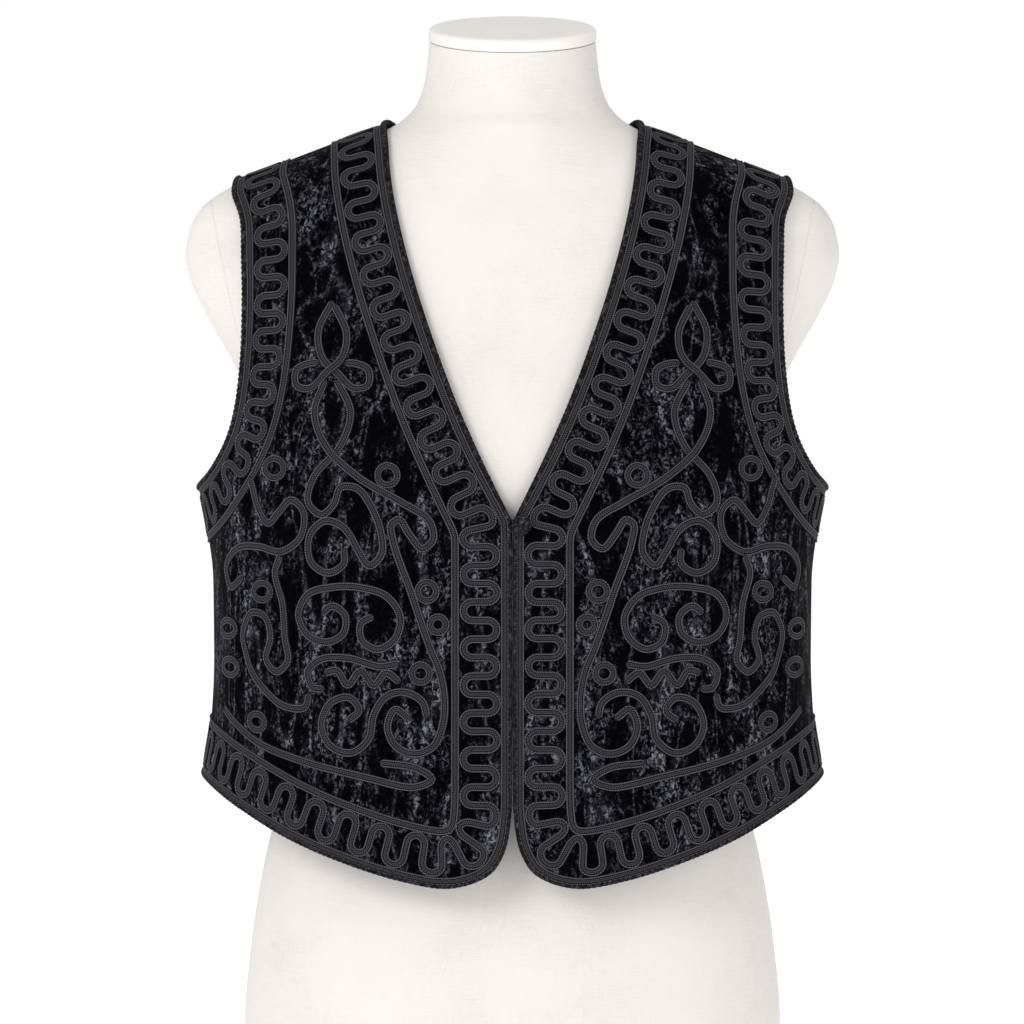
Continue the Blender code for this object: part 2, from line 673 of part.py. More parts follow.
def meander(outer, inner):
    """A serpentine between two closed paths: half circles at each side in turn, joined by straight runs.

    The paths match sample by sample, so that the loops fan out where one is longer than the other."""
    outer, inner = np.vstack([outer, outer[:1]]), np.vstack([inner, inner[:1]])
    along = lengths_along((outer + inner) / 2)
    halves = 2 * round(along[-1] / MEANDER_PERIOD)
    half_wave = along[-1] / halves
    angles = np.radians((30, 90, 150))
    place = np.arange(halves)[:, None] * half_wave + half_wave * (0.5 - 0.5 * np.cos(angles))
    place = place.ravel()
    ends = [np.stack([np.interp(place, along, path[:, k]) for k in range(3)], axis=1) for path in (outer, inner)]
    reach = np.linalg.norm(ends[0] - ends[1], axis=1) / 2
    swing = 1 - half_wave / 2 / reach * (1 - np.tile(np.sin(angles), halves))
    turn = np.repeat(np.where(np.arange(halves) % 2, -1, 1), len(angles))
    share = (0.5 + 0.5 * turn * swing)[:, None]
    return settle(share * ends[0] + (1 - share) * ends[1])


def without_loops(path):
    """A closed path with each small loop, where a moved corner has crossed itself, cut out and eased."""
    ring = np.vstack([path, path[:1]])
    path = resample(ring, round(lengths_along(ring)[-1] / LOOP_STEP))[:-1]
    keep = np.ones(len(path), bool)
    for k in range(len(path)):
        if not keep[k]:
            continue
        ahead = (k + np.arange(*LOOP_SAMPLES)) % len(path)
        apart = np.linalg.norm(path[ahead] - path[k], axis=1)
        best = apart.argmin()
        if apart[best] < LOOP_STEP:
            keep[(k + 1 + np.arange(LOOP_SAMPLES[0] + best)) % len(path)] = False
    path = path[keep]
    for _ in range(CORNER_EASE):
        path = 0.5 * path + 0.25 * (np.roll(path, 1, axis=0) + np.roll(path, -1, axis=0))
    return settle(path)


def across_from(path, others):
    """For each sample of a closed path, the closest place on the other path, eased along the path."""
    apart = np.linalg.norm(path[:, None] - others[None], axis=2)
    found = others[apart.argmin(axis=1)]
    for _ in range(CORNER_EASE):
        found = 0.5 * found + 0.25 * (np.roll(found, 1, axis=0) + np.roll(found, -1, axis=0))
    return found


def band(prefix, edge, share, ground, braid, velvet):
    """A border laid inside a cut edge: a roll on the edge, a line, a serpentine and a second line.

    share narrows the roll at each sample of the edge, and draws the first line towards the edge."""
    middle = without_loops(walk_in(edge, EDGE_TO_MIDDLE))
    inner = without_loops(walk_in(middle, EDGE_TO_INNER_LINE - EDGE_TO_MIDDLE))
    outer = walk_in(edge, EDGE_TO_OUTER_LINE * share)
    for name, path in (("line_outer", outer), ("line_inner", inner)):
        path = thinned(path, LINE_SLACK, closed=True)
        lay_strand(f"{prefix}_{name}", path, BRAID_WIDTH, BRAID_HEIGHT, ground, braid, closed=True)
    roll = walk_in(edge, EDGE_TO_ROLL * share)
    kept = thinned(roll, LINE_SLACK, closed=True)
    width = ROLL_WIDTH * share[np.linalg.norm(kept[:, None] - roll[None], axis=2).argmin(axis=1)]
    lay_strand(f"{prefix}_edging", kept, width, ROLL_HEIGHT, ground, velvet, closed=True)
    far = across_from(outer, inner)
    toward = (far - outer) / np.linalg.norm(far - outer, axis=1, keepdims=True) * MEANDER_GAP
    wave = meander(outer + toward, far - toward)
    lay_strand(f"{prefix}_serpentine", wave, BRAID_WIDTH, BRAID_HEIGHT, ground, braid, closed=True)


def scrolls(side, hand, ground, braid):
    """The laid figures of one front: strands and rings, mirrored on the other front."""
    for name, points in SCROLLS.items():
        places = np.array(points) / 1000
        path = smooth_path(on_front(hand * places[:, 0], places[:, 1]), 0.001)
        lay_strand(f"scroll_{side}_{name}", thinned(path, LINE_SLACK), BRAID_WIDTH, BRAID_HEIGHT, ground, braid)
    for k, (across, height, radius) in enumerate(zip(*RINGS.values())):
        turn = np.linspace(0, 2 * math.pi, 6, endpoint=False)
        path = on_front(
            hand * (across + radius * np.cos(turn)) / 1000, (height + radius * np.sin(turn)) / 1000
        )
        lay_strand(f"ring_{side}_{k + 1}", path, RING_WIDTH, BRAID_HEIGHT, ground, braid, closed=True)


def dress_form(made):
    """The form: one smooth closed body of rings with a flat bottom and a sloping top."""
    sides = 28
    hips = np.linspace(0, 0.413, 8)
    stumps = (0.45, 0.489, 0.518, 0.543, 0.564, 0.581, 0.594)
    shoulders = (0.6040, 0.6120, 0.6200, 0.6300, 0.6400, 0.6490, 0.6570, 0.6680, NECK_TOP)
    heights = np.r_[hips, stumps, shoulders]
    turn = np.linspace(0, 2 * math.pi, sides, endpoint=False)
    rings = []
    for height in heights:
        half, front, back, square = ring_sizes(FORM, height)
        sine, cosine = np.sin(turn), -np.cos(turn)
        across = half * np.sign(sine) * np.abs(sine) ** (2 / square)
        deep = np.where(cosine < 0, front, back) * np.sign(cosine) * np.abs(cosine) ** (2 / square)
        slope = np.clip((height - NECK_FOOT) / (NECK_TOP - NECK_FOOT), 0, 1)
        rings.append(np.stack([across, deep, height + slope * deep * math.tan(CAP_TILT)], axis=1))
    points = np.vstack(rings)
    faces = []
    for r in range(len(heights) - 1):
        for k in range(sides):
            a, b = r * sides + k, r * sides + (k + 1) % sides
            faces.append((a, b, b + sides, a + sides))
    faces.append(tuple(range(sides))[::-1])
    faces.append(tuple(range((len(heights) - 1) * sides, len(heights) * sides)))
    body = mesh_object("dress_form", points, faces, made)
    body.data.shade_smooth()
    body.data.set_sharp_from_angle(angle=math.radians(50))


def neck_cap(made):
    """The cap: an oval disc with a rounded rim, lying on the sloping neck."""
    half, front, back, _ = (float(size) for size in ring_sizes(FORM, NECK_TOP))
    middle = (back - front) / 2
    turn = np.linspace(0, 2 * math.pi, 22, endpoint=False)
    top = SEAM_GAP + CAP_THICKNESS
    profile = (
        (-CAP_RIM, SEAM_GAP),
        (0.0, SEAM_GAP + CAP_RIM),
        (0.0, top - 2 * CAP_RIM),
        (-CAP_RIM * 0.7, top - CAP_RIM * 0.4),
        (-2 * CAP_RIM, top),
    )
    points = []
    for inset, up in profile:
        across = (half + CAP_LIP + inset) * np.sin(turn)
        deep = middle - ((front + back) / 2 + CAP_LIP + inset) * np.cos(turn)
        height = NECK_TOP + deep * math.tan(CAP_TILT) + up
        points += list(np.stack([across, deep, height], axis=1))
    sides = len(turn)
    faces = []
    for r in range(len(profile) - 1):
        for k in range(sides):
            a, b = r * sides + k, r * sides + (k + 1) % sides
            faces.append((a, b, b + sides, a + sides))
    faces.append(tuple(range(sides))[::-1])
    faces.append(tuple(range((len(profile) - 1) * sides, len(profile) * sides)))
    cap = mesh_object("neck_cap", points, faces, made)
    cap.data.shade_smooth()
    cap.data.set_sharp_from_angle(angle=math.radians(40))


def button(ground, made):
    """The covered button: a ball flattened behind, held clear of what lies under it."""
    place = settle(on_front(*BUTTON_PLACE)[None])
    normal = outward(place)
    around = np.linspace(0, 2 * math.pi, 12, endpoint=False)
    across = np.array((1.0, 0.0, 0.0))
    up = np.cross(normal[0], across)
    profile = ((0.45, 0.0), (0.86, 0.22), (1.0, 0.62), (0.86, 1.05), (0.48, 1.35))
    reach, turn = np.meshgrid(np.linspace(0, 1, 12), np.linspace(0, 2 * math.pi, 36))
    reach, turn = reach.reshape(-1, 1), turn.reshape(-1, 1)
    disc = settle(place + reach * BUTTON_RADIUS * (np.cos(turn) * across + np.sin(turn) * up))
    high = np.interp(reach[:, 0], *zip(*profile[:3])) * BUTTON_RADIUS
    base = (ground.rise(disc, outward(disc)) - high).max() + LAY_GAP
    points = []
    for wide, high in profile:
        ring = np.cos(around)[:, None] * across + np.sin(around)[:, None] * up
        points += list(place + normal * (base + high * BUTTON_RADIUS) + wide * BUTTON_RADIUS * ring)
    count = len(around)
    faces = []
    for r in range(len(profile) - 1):
        for k in range(count):
            a, b = r * count + k, r * count + (k + 1) % count
            faces.append((a, b, b + count, a + count))
    top = len(points)
    points.append((place + normal * (base + 1.45 * BUTTON_RADIUS))[0])
    last = (len(profile) - 1) * count
    faces += [(last + k, last + (k + 1) % count, top) for k in range(count)]
    faces.append(tuple(range(count))[::-1])
    made_button = mesh_object("button", points, faces, made)
    made_button.data.shade_smooth()


def main():
    clear_scene()
    velvet = material("crushed_velvet", (0.012, 0.012, 0.016), 0.75)
    braid = material("charcoal_braid", (0.05, 0.05, 0.055), 0.7)
    linen = material("cream_linen", (0.86, 0.83, 0.79), 0.85)
    lacquer = material("cream_lacquer", (0.85, 0.81, 0.74), 0.3)

    dress_form(linen)
    neck_cap(lacquer)

    border = border_edge()
    armhole = armhole_edge()
    edges = np.vstack([border[::4], armhole[::4], mirrored(armhole[::4])])
    ground = Ground()
    front = folded(front_grid(), FRONT_FOLDS, edges)
    ground.add(*cloth_panel("front_left", front, -1, velvet))
    ground.add(*cloth_panel("front_right", mirrored(front), -1, velvet))
    ground.add(*cloth_panel("back", folded(back_grid(), BACK_FOLDS, edges), 1, velvet))

    full = np.clip((border[:, 2] - NARROW_RISE[0]) / (NARROW_RISE[1] - NARROW_RISE[0]), 0, 1)
    band("border", border, NARROW_SHARE + (1 - NARROW_SHARE) * full, ground, braid, velvet)
    band("armhole_left", armhole, np.ones(len(armhole)), ground, braid, velvet)
    band("armhole_right", mirrored(armhole)[::-1], np.ones(len(armhole)), ground, braid, velvet)
    scrolls("left", 1, ground, braid)
    scrolls("right", -1, ground, braid)
    button(ground, velvet)


main()
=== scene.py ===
"""The finish of a velvet vest with laid braid, shown on a limbless linen dress form.

Metres, +Z up, the front towards -Y, the wearer's left at +X. The cloth lies on one smooth body of level
rings. Every cut edge is a curve on that body, and every braid is a section carried along such a curve.
"""

import math

import bpy
import numpy as np
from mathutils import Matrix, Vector


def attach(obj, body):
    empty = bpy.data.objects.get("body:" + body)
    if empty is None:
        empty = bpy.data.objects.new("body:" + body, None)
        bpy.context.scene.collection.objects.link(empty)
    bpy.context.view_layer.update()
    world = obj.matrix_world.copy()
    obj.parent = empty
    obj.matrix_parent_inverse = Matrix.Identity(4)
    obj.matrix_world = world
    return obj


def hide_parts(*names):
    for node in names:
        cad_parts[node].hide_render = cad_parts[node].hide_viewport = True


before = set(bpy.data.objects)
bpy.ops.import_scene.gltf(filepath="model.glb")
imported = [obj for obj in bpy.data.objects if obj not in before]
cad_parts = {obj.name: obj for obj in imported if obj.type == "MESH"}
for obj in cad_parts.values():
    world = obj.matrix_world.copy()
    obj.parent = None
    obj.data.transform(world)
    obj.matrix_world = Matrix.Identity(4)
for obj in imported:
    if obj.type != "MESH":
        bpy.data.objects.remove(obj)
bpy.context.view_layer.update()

WALL = 0.0016
SEAM_GAP = 0.0003
CAP_TILT = math.radians(13.3)
CAP_THICKNESS = 0.008
NECK_FOOT = 0.6637
NECK_TOP = 0.7051
CAP_RIM = 0.0028
CAP_LIP = 0.0006
CAP_CROWN = 0.0004  # how much its middle rises
CAP_SIDES = 120
FORM_SIDES = 208
FORM_ROWS = 190
FORM_CROWD = 0.56  # height above which its rows lie closer together
STUMP_SEAM = (0.1790, 0.5144, 0.22)  # across, height and lean of the seam over each stump
SEAM_WIDTH = 0.0009
SEAM_FOOT = 0.47  # the height at which it starts

BRAID_WIDTH = 0.0052
BRAID_HEIGHT = 0.0015
RING_WIDTH = 0.0046
RING_SAMPLES = 40
ROLL_WIDTH = 0.0036
ROLL_HEIGHT = 0.0026
ROLL_SIDES = 12
KNOB_PITCH = 0.0035  # spacing of the knobs that the whip stitches make on a rolled edge
KNOB_LEAST = 0.74  # the roll's radius between two knobs, as a share
KNOB_SWELL = 0.40  # what a knob adds to it
STITCH_PITCH = 0.0014  # spacing of the dark stitches in each row of a braid
TWIST_PITCH = 0.0016  # spacing of the turns of a braid's cords
MEANDER_PERIOD = 0.0235
MEANDER_GAP = 0.0051  # from the middle of a line to the middle of the serpentine's tips
MEANDER_WANDER = 0.0005  # how far a loop strays along the band from its even place
MEANDER_SWAY = 0.6  # and across it, as a share of that
MEANDER_SAMPLES = 17  # samples in each half circle
EDGE_TO_ROLL = 0.0019
EDGE_TO_OUTER_LINE = 0.0062
EDGE_TO_MIDDLE = 0.0212
EDGE_TO_INNER_LINE = 0.0360
NARROW_SHARE = 0.72  # the roll's share of its full width down the centre front and round the hem
NARROW_RISE = (0.385, 0.440)  # heights between which it grows to its full width up the neckline
STRAND_STEP = 0.0012
ROLL_STEP = 0.0007
NAP_GAP = 0.0002  # a strand's sides start this deep in the pile
LOOP_STEP = 0.0008  # spacing of samples where a path is searched for loops
LOOP_SAMPLES = (8, 80)  # the shortest and longest loop, in samples
CORNER_EASE = 30  # rounds of averaging that ease a corner
FINE = 0.0025  # spacing of the samples on a cut edge
WALK_STEP = 0.003  # longest single step of an edge moved inwards
CURVE_SAMPLES = 24  # samples between two points of a smooth curve
LEVEL_SAMPLES = 200  # and round a quarter of the body
STRAIGHT_SAMPLES = 120  # and down the centre front
SEAM_SAMPLES = 100
SHOULDER_REACH = 40  # samples past the shoulder in which each half of the armhole is looked for
BLOCK = 1500  # points whose distances are worked out at a time
OWN_STRETCH = 2.6  # widths along a strand within which it does not cross itself
CLIMB_SLOPE = 0.45  # the width of a crossing's slope, as a share of the braid's
CLIMB_SHARE = 0.9  # how much of the braid below a crossing strand rises over
CLIMB_EASE = 6  # rounds of averaging that ease its rise

BUTTON_RADIUS = 0.0063
BUTTON_PLACE = (0.0056, 0.3905)  # across and height
BUTTON_RISE = 0.0011  # its turning point above the cloth
GATHERS = 14  # folds of the cloth drawn in behind it
GATHER_DEPTH = 0.05
BUTTON_SIDES = 56
BUTTON_ROWS = 22

FRONT_CELLS = (96, 62, 88)  # cells across a front, up it below the underarm and above
BACK_CELLS = (76, 52, 76)  # the same for half the back
SHOULDER_CROWD = 1.35

CAMERA_AWAY = 3.2
CAMERA_RISE = 1.8  # degrees above level
TARGET_HEIGHT = 0.395
METRES_A_PIXEL = 0.00066
PIXELS = 1024  # along each side of the picture
SENSOR_WIDTH = 36
SURROUND = 0.635
FLOOR_GLOW = 0.48  # lifts the far floor to the white of the surroundings
FLOOR_LEVEL = -0.0003
LAMPS = (  # name, place, size, power and the place it shines at
    ("key", (-1.5, -2.1, 1.6), 1.2, 26, (0, 0, 0.3)),
    ("fill", (1.8, -2.0, 1.0), 1.6, 9, (0, 0, 0.42)),
    ("top", (0.2, 0.6, 2.4), 1.6, 2.5, (0, 0, 0.42)),
)


def columns(names, *rows):
    """A table's columns by name."""
    return dict(zip(names.split(), np.array(rows, float).T))


# The cloth's outer face as level rings: half width, depth in front and behind, and squareness.
CLOTH = columns(
    "height half front back square",
    (0.120, 0.2045, 0.1405, 0.1125, 2.35),
    (0.222, 0.2035, 0.1390, 0.1100, 2.35),
    (0.260, 0.1985, 0.1380, 0.1080, 2.35),
    (0.300, 0.1965, 0.1370, 0.1070, 2.35),
    (0.350, 0.1970, 0.1370, 0.1080, 2.35),
    (0.385, 0.2010, 0.1360, 0.1100, 2.35),
    (0.413, 0.2055, 0.1330, 0.1120, 2.35),
    (0.450, 0.2065, 0.1250, 0.1140, 2.30),
    (0.500, 0.2080, 0.1090, 0.1150, 2.20),
    (0.540, 0.2160, 0.0955, 0.1120, 2.12),
    (0.568, 0.2200, 0.0860, 0.1060, 2.06),
    (0.590, 0.2140, 0.0775, 0.0980, 2.00),
    (0.602, 0.2030, 0.0730, 0.0920, 2.00),
    (0.613, 0.1825, 0.0690, 0.0860, 2.00),
    (0.623, 0.1565, 0.0660, 0.0800, 2.00),
    (0.633, 0.1305, 0.0630, 0.0740, 2.00),
    (0.643, 0.1040, 0.0605, 0.0690, 2.00),
    (0.652, 0.0805, 0.0590, 0.0650, 2.00),
    (0.662, 0.0720, 0.0575, 0.0620, 2.00),
)

# The dress form: hips, waist, chest, rounded arm stumps and neck.
FORM = columns(
    "height half front back square",
    (0.0000, 0.1770, 0.1180, 0.1020, 2.30),
    (0.0600, 0.1768, 0.1190, 0.1030, 2.30),
    (0.1150, 0.1720, 0.1170, 0.1030, 2.30),
    (0.1650, 0.1637, 0.1120, 0.0980, 2.30),
    (0.2220, 0.1500, 0.1040, 0.0900, 2.30),
    (0.2900, 0.1400, 0.0990, 0.0840, 2.30),
    (0.3500, 0.1470, 0.1120, 0.0900, 2.30),
    (0.4130, 0.1610, 0.1270, 0.1020, 2.30),
    (0.4500, 0.1680, 0.1200, 0.1080, 2.25),
    (0.4890, 0.1817, 0.1070, 0.1100, 2.20),
    (0.5280, 0.2030, 0.0945, 0.1080, 2.12),
    (0.5480, 0.2120, 0.0880, 0.1045, 2.08),
    (0.5640, 0.2152, 0.0825, 0.1010, 2.05),
    (0.5809, 0.2125, 0.0765, 0.0948, 2.00),
    (0.5940, 0.2058, 0.0715, 0.0890, 2.00),
    (0.6072, 0.1888, 0.0665, 0.0800, 2.00),
    (0.6198, 0.1560, 0.0628, 0.0725, 2.00),
    (0.6300, 0.1293, 0.0598, 0.0665, 2.00),
    (0.6398, 0.1030, 0.0573, 0.0608, 2.00),
    (0.6485, 0.0792, 0.0550, 0.0558, 2.00),
    (0.6558, 0.0691, 0.0510, 0.0548, 2.00),
    (0.6637, 0.0629, 0.0485, 0.0535, 2.00),
    (0.6795, 0.0576, 0.0465, 0.0510, 2.00),
    (0.7051, 0.0546, 0.0455, 0.0495, 2.00),
)

# The front neckline from the button up to the shoulder, then the back neckline to the middle.
NECKLINE = columns(
    "across height",
    (0.0003, 0.3935),
    (0.0193, 0.4320),
    (0.0362, 0.4700),
    (0.0504, 0.5080),
    (0.0631, 0.5465),
    (0.0733, 0.5850),
    (0.0785, 0.6120),
    (0.0812, 0.6370),
)
BACK_NECKLINE = columns("across height", (0.0640, 0.6420), (0.0350, 0.6350), (0.0, 0.6330))
NECK_POINT = (0.0810, 0.0, 0.6518)
SHOULDER_TIP = (0.1815, 0.0, 0.6134)
UNDERARM = (0.2055, 0.0, 0.4130)

# The rounded lower corner and hem of a front, then the hem behind.
HEM = columns(
    "across height",
    (0.0003, 0.2130),
    (0.0022, 0.1945),
    (0.0052, 0.1832),
    (0.0120, 0.1717),
    (0.0230, 0.1648),
    (0.0420, 0.1606),
    (0.0745, 0.1658),
    (0.1130, 0.1775),
    (0.1420, 0.1889),
    (0.1740, 0.2057),
    (0.1965, 0.2192),
)
HEM_SIDE = (0.2034, 0.0, 0.2235)
BACK_HEM = columns("across height", (0.1500, 0.2180), (0.0750, 0.2130), (0.0, 0.2120))
CORNER = 3  # the row of HEM at the middle of the rounded corner

# The armhole seen from the side: how far it is cut in front and behind, from the underarm up.
ARMHOLE = columns(
    "height front back",
    (0.4170, 0.0340, 0.0300),
    (0.4240, 0.0520, 0.0450),
    (0.4370, 0.0640, 0.0555),
    (0.4520, 0.0690, 0.0610),
    (0.4700, 0.0692, 0.0640),
    (0.5080, 0.0635, 0.0650),
    (0.5470, 0.0580, 0.0630),
    (0.5860, 0.0455, 0.0520),
    (0.6020, 0.0320, 0.0370),
    (0.6100, 0.0180, 0.0200),
)

# Soft folds: place across, top and bottom height, lean, width and depth, in front and behind.
FRONT_FOLDS = columns(
    "across top bottom lean width depth",
    (0.178, 0.420, 0.225, 0.00, 0.0110, 0.0030),
    (0.152, 0.390, 0.225, -0.06, 0.0120, 0.0022),
    (0.072, 0.470, 0.320, -0.35, 0.0110, 0.0028),
    (0.100, 0.600, 0.500, 0.10, 0.0100, 0.0022),
    (0.110, 0.330, 0.215, 0.05, 0.0130, 0.0020),
)
BACK_FOLDS = columns(
    "across top bottom lean width depth",
    (0.165, 0.420, 0.235, 0.04, 0.0130, 0.0030),
    (0.120, 0.480, 0.240, -0.05, 0.0140, 0.0026),
    (0.062, 0.400, 0.235, 0.05, 0.0130, 0.0028),
    (0.085, 0.600, 0.470, -0.10, 0.0120, 0.0020),
)
FOLD_CLEAR = (0.034, 0.062)  # distances from a stiff band at which folds start and are full

# Braid laid on each front: points across and up, in millimetres, that a smooth strand passes through.
SCROLLS = {
    "leaf_outer": (
        (115, 533), (124, 513), (121, 496), (111, 486), (101, 477), (92, 479), (92, 489), (101, 493),
        (107, 493),
    ),
    "leaf_inner": (
        (114, 530), (106, 512), (109, 496), (119, 486), (129, 477), (138, 479), (138, 489), (129, 493),
        (123, 493),
    ),
    "stem_outer": (
        (112, 482), (103, 462), (109, 441), (126, 421), (130, 405), (121, 397), (113, 404), (109, 414),
        (99, 414), (89, 402), (83, 387), (82, 373), (90, 365), (98, 375), (107, 389), (119, 393),
        (129, 383), (128, 367), (117, 360), (107, 366), (107, 376),
    ),
    "stem_inner": (
        (119, 482), (126, 462), (119, 441), (98, 421), (70, 405), (53, 394), (50, 382), (57, 376),
        (65, 385), (71, 394), (76, 391), (75, 381), (71, 367), (65, 351), (59, 333), (52, 313),
        (46, 298), (43, 281), (44, 265), (50, 251), (62, 246), (74, 251), (79, 263), (74, 274), (65, 268),
    ),
    "horns": (
        (121, 334), (114, 339), (106, 333), (107, 322), (117, 316), (130, 320), (136, 333), (130, 346),
        (114, 351), (96, 351), (80, 346), (71, 333), (74, 319), (85, 312), (95, 317), (96, 328), (88, 333),
    ),
    "bar": ((72, 303), (84, 301), (104, 306), (121, 305), (130, 297), (127, 287), (119, 286)),
    "bar_zigzag": ((119, 296), (111, 298), (104, 289), (96, 298), (88, 289), (80, 297), (71, 291)),
    "bows": (
        (104, 266), (97, 273), (103, 281), (115, 277), (121, 263), (115, 250), (102, 246), (91, 255),
        (88, 270), (80, 282), (68, 285), (57, 279), (54, 269),
    ),
    "vine_side": (
        (167, 420), (163, 402), (156, 391), (149, 398), (141, 406), (133, 398), (135, 383), (147, 373),
        (163, 376), (176, 374), (183, 361), (179, 349), (172, 356),
    ),
    "bow_side": (
        (147, 371), (151, 360), (146, 340), (144, 318), (142, 303), (149, 296), (156, 304), (153, 318),
        (157, 331), (166, 333), (172, 320), (169, 303), (159, 286), (144, 274), (132, 274), (129, 283),
    ),
    "bar_hem": ((186, 270), (165, 251), (135, 240), (95, 231), (62, 225), (51, 230), (61, 237), (84, 240)),
}
# Rings of braid among them: the middle across and up, and the radius, in millimetres.
RINGS = columns(
    "across height radius",
    (152, 426, 6.2),
    (79, 422, 6.2),
    (54, 349, 5.8),
    (47, 328, 5.0),
    (58, 297, 5.6),
    (159, 347, 5.4),
    (163, 263, 5.2),
    (181, 322, 5.2),
    (180, 297, 5.2),
)


def size_of(steps):
    """The length of each step."""
    return np.linalg.norm(steps, axis=-1)


def unit(steps):
    """Each step divided by its own length."""
    return steps / np.linalg.norm(steps, axis=-1, keepdims=True)


def round_turn(count):
    """Angles all the way round, evenly spaced."""
    return np.linspace(0, 2 * math.pi, count, endpoint=False)


def looped(path):
    """A closed path with its first sample again at the end."""
    return np.vstack([path, path[:1]])


def averaged(path):
    """A closed path with each sample drawn half way to its neighbours' middle."""
    return 0.5 * path + 0.25 * (np.roll(path, 1, axis=0) + np.roll(path, -1, axis=0))


def cubic(t, step, start, end, first, last):
    """A cubic from start to end over one step, with these slopes at its first and last place."""
    ends = (2 * t**3 - 3 * t**2 + 1) * start + (3 * t**2 - 2 * t**3) * end
    bends = (t**3 - 2 * t**2 + t) * first + (t**3 - t**2) * last
    return ends + bends * step


def eased(at, xs, ys):
    """A smooth curve through a table that never swings past its rows: cubic pieces with limited slopes."""
    at = np.clip(at, xs[0], xs[-1])
    step = np.diff(xs)
    slope = np.diff(ys) / step
    same = slope[1:] * slope[:-1] > 0
    low = np.where(same, slope[:-1], 1.0)
    high = np.where(same, slope[1:], 1.0)
    near = 2 * step[1:] + step[:-1]
    far = step[1:] + 2 * step[:-1]
    tangent = np.empty_like(ys)
    tangent[1:-1] = np.where(same, (near + far) / (near / low + far / high), 0.0)
    tangent[0] = slope[0]
    tangent[-1] = slope[-1]
    span = np.clip(np.searchsorted(xs, at) - 1, 0, len(step) - 1)
    t = (at - xs[span]) / step[span]
    return cubic(t, step[span], ys[span], ys[span + 1], tangent[span], tangent[span + 1])


def ring_sizes(table, height):
    """Half width, the two depths and squareness of the ring at each height."""
    return [eased(height, table["height"], table[name]) for name in ("half", "front", "back", "square")]


def outside(points):
    """How far points lie outside the cloth's rings, as a share of the ring: 0 on the surface.

    (|across / half| ** square + |deep / depth| ** square) ** (1 / square) - 1."""
    half, front, back, square = ring_sizes(CLOTH, points[..., 2])
    depth = np.where(points[..., 1] < 0, front, back)
    across = np.abs(points[..., 0]) / half
    deep = np.abs(points[..., 1]) / depth
    return (across**square + deep**square) ** (1 / square) - 1


def steepest(points):
    """The slope of outside along each axis, from its values a small step either way."""
    nudge = 2e-5
    parts = []
    for axis in np.eye(3) * nudge:
        parts.append((outside(points + axis) - outside(points - axis)) / (2 * nudge))
    return np.stack(parts, axis=-1)


def outward(points):
    """The cloth's normal, which is the slope of outside over its own length."""
    return unit(steepest(points))


def settle(points, rounds=3):
    """Points moved straight onto the cloth's smooth surface: each round moves them back along the slope
    by outside over the slope squared."""
    points = np.array(points, float)
    for _ in range(rounds):
        lean = steepest(points)
        points -= (outside(points) / (lean**2).sum(axis=-1))[..., None] * lean
    return points


def on_front(across, height):
    """The point of the cloth's front face seen at this place from the front."""
    across = np.asarray(across, float)
    height = np.asarray(height, float)
    half, front, _, square = ring_sizes(CLOTH, height)
    share = np.clip(np.abs(across) / half, 0, 1)
    return np.stack([across, -front * (1 - share**square) ** (1 / square), height], axis=-1)


def on_back(across, height):
    """The point of the cloth's back face at the same place."""
    point = on_front(across, height)
    _, front, back, _ = ring_sizes(CLOTH, point[..., 2])
    point[..., 1] *= -back / front
    return point


def on_side(deep, height):
    """The point of the cloth's +X face seen at this depth and height from the side."""
    half, front, back, square = ring_sizes(CLOTH, height)
    share = np.abs(deep) / np.where(deep < 0, front, back)
    return np.stack([half * (1 - share**square) ** (1 / square), deep, height], axis=-1)


def lengths_along(path):
    """The length of a path up to each of its samples."""
    return np.r_[0, np.cumsum(size_of(np.diff(path, axis=0)))]


def resample(path, count):
    """A path sampled again at this many even places."""
    return at_shares(path, np.linspace(0, 1, count))


def at_lengths(path, along, places):
    """The points of a path at these places, where along holds the length at each sample."""
    return np.stack([np.interp(places, along, path[:, k]) for k in range(3)], axis=1)


def at_shares(path, shares):
    """The points at these shares of a path's length."""
    along = lengths_along(path)
    return at_lengths(path, along, shares * along[-1])


def smooth_path(points, step, closed=False):
    """A smooth curve through the points, sampled evenly: cubic pieces timed by the root of each chord."""
    points = np.asarray(points, float)
    if closed:
        points = looped(points)
    reach = np.sqrt(size_of(np.diff(points, axis=0)))
    slope = np.diff(points, axis=0) / reach[:, None]
    before = np.vstack([slope[-1:] if closed else slope[:1], slope])
    after = np.vstack([slope, slope[:1] if closed else slope[-1:]])
    reach_before = np.r_[reach[-1] if closed else reach[0], reach][:, None]
    reach_after = np.r_[reach, reach[0] if closed else reach[-1]][:, None]
    tangent = (before * reach_after + after * reach_before) / (reach_before + reach_after)
    times = np.r_[0, np.cumsum(reach)]
    at = np.linspace(0, times[-1], CURVE_SAMPLES * len(reach) + 1)
    span = np.clip(np.searchsorted(times, at, side="right") - 1, 0, len(reach) - 1)
    t = ((at - times[span]) / reach[span])[:, None]
    ends = points[span], points[span + 1]
    path = cubic(t, reach[span][:, None], *ends, tangent[span], tangent[span + 1])
    count = max(3, round(lengths_along(path)[-1] / step) + 1)
    return resample(path, count)


def between(path, start, end):
    """The stretch of a path from the sample nearest one point to the sample nearest another."""
    first = size_of(path - start).argmin()
    last = size_of(path - end).argmin()
    return path[first : last + 1] if first < last else path[last : first + 1][::-1]


def mirrored(points):
    """Points carried over to the other side of the body."""
    return points * (-1, 1, 1)


def whole_edge(half):
    """Both halves of an edge, from points on the +X half that end at the middle of the back."""
    return settle(smooth_path(np.vstack([half, mirrored(half[-2::-1])]), FINE))


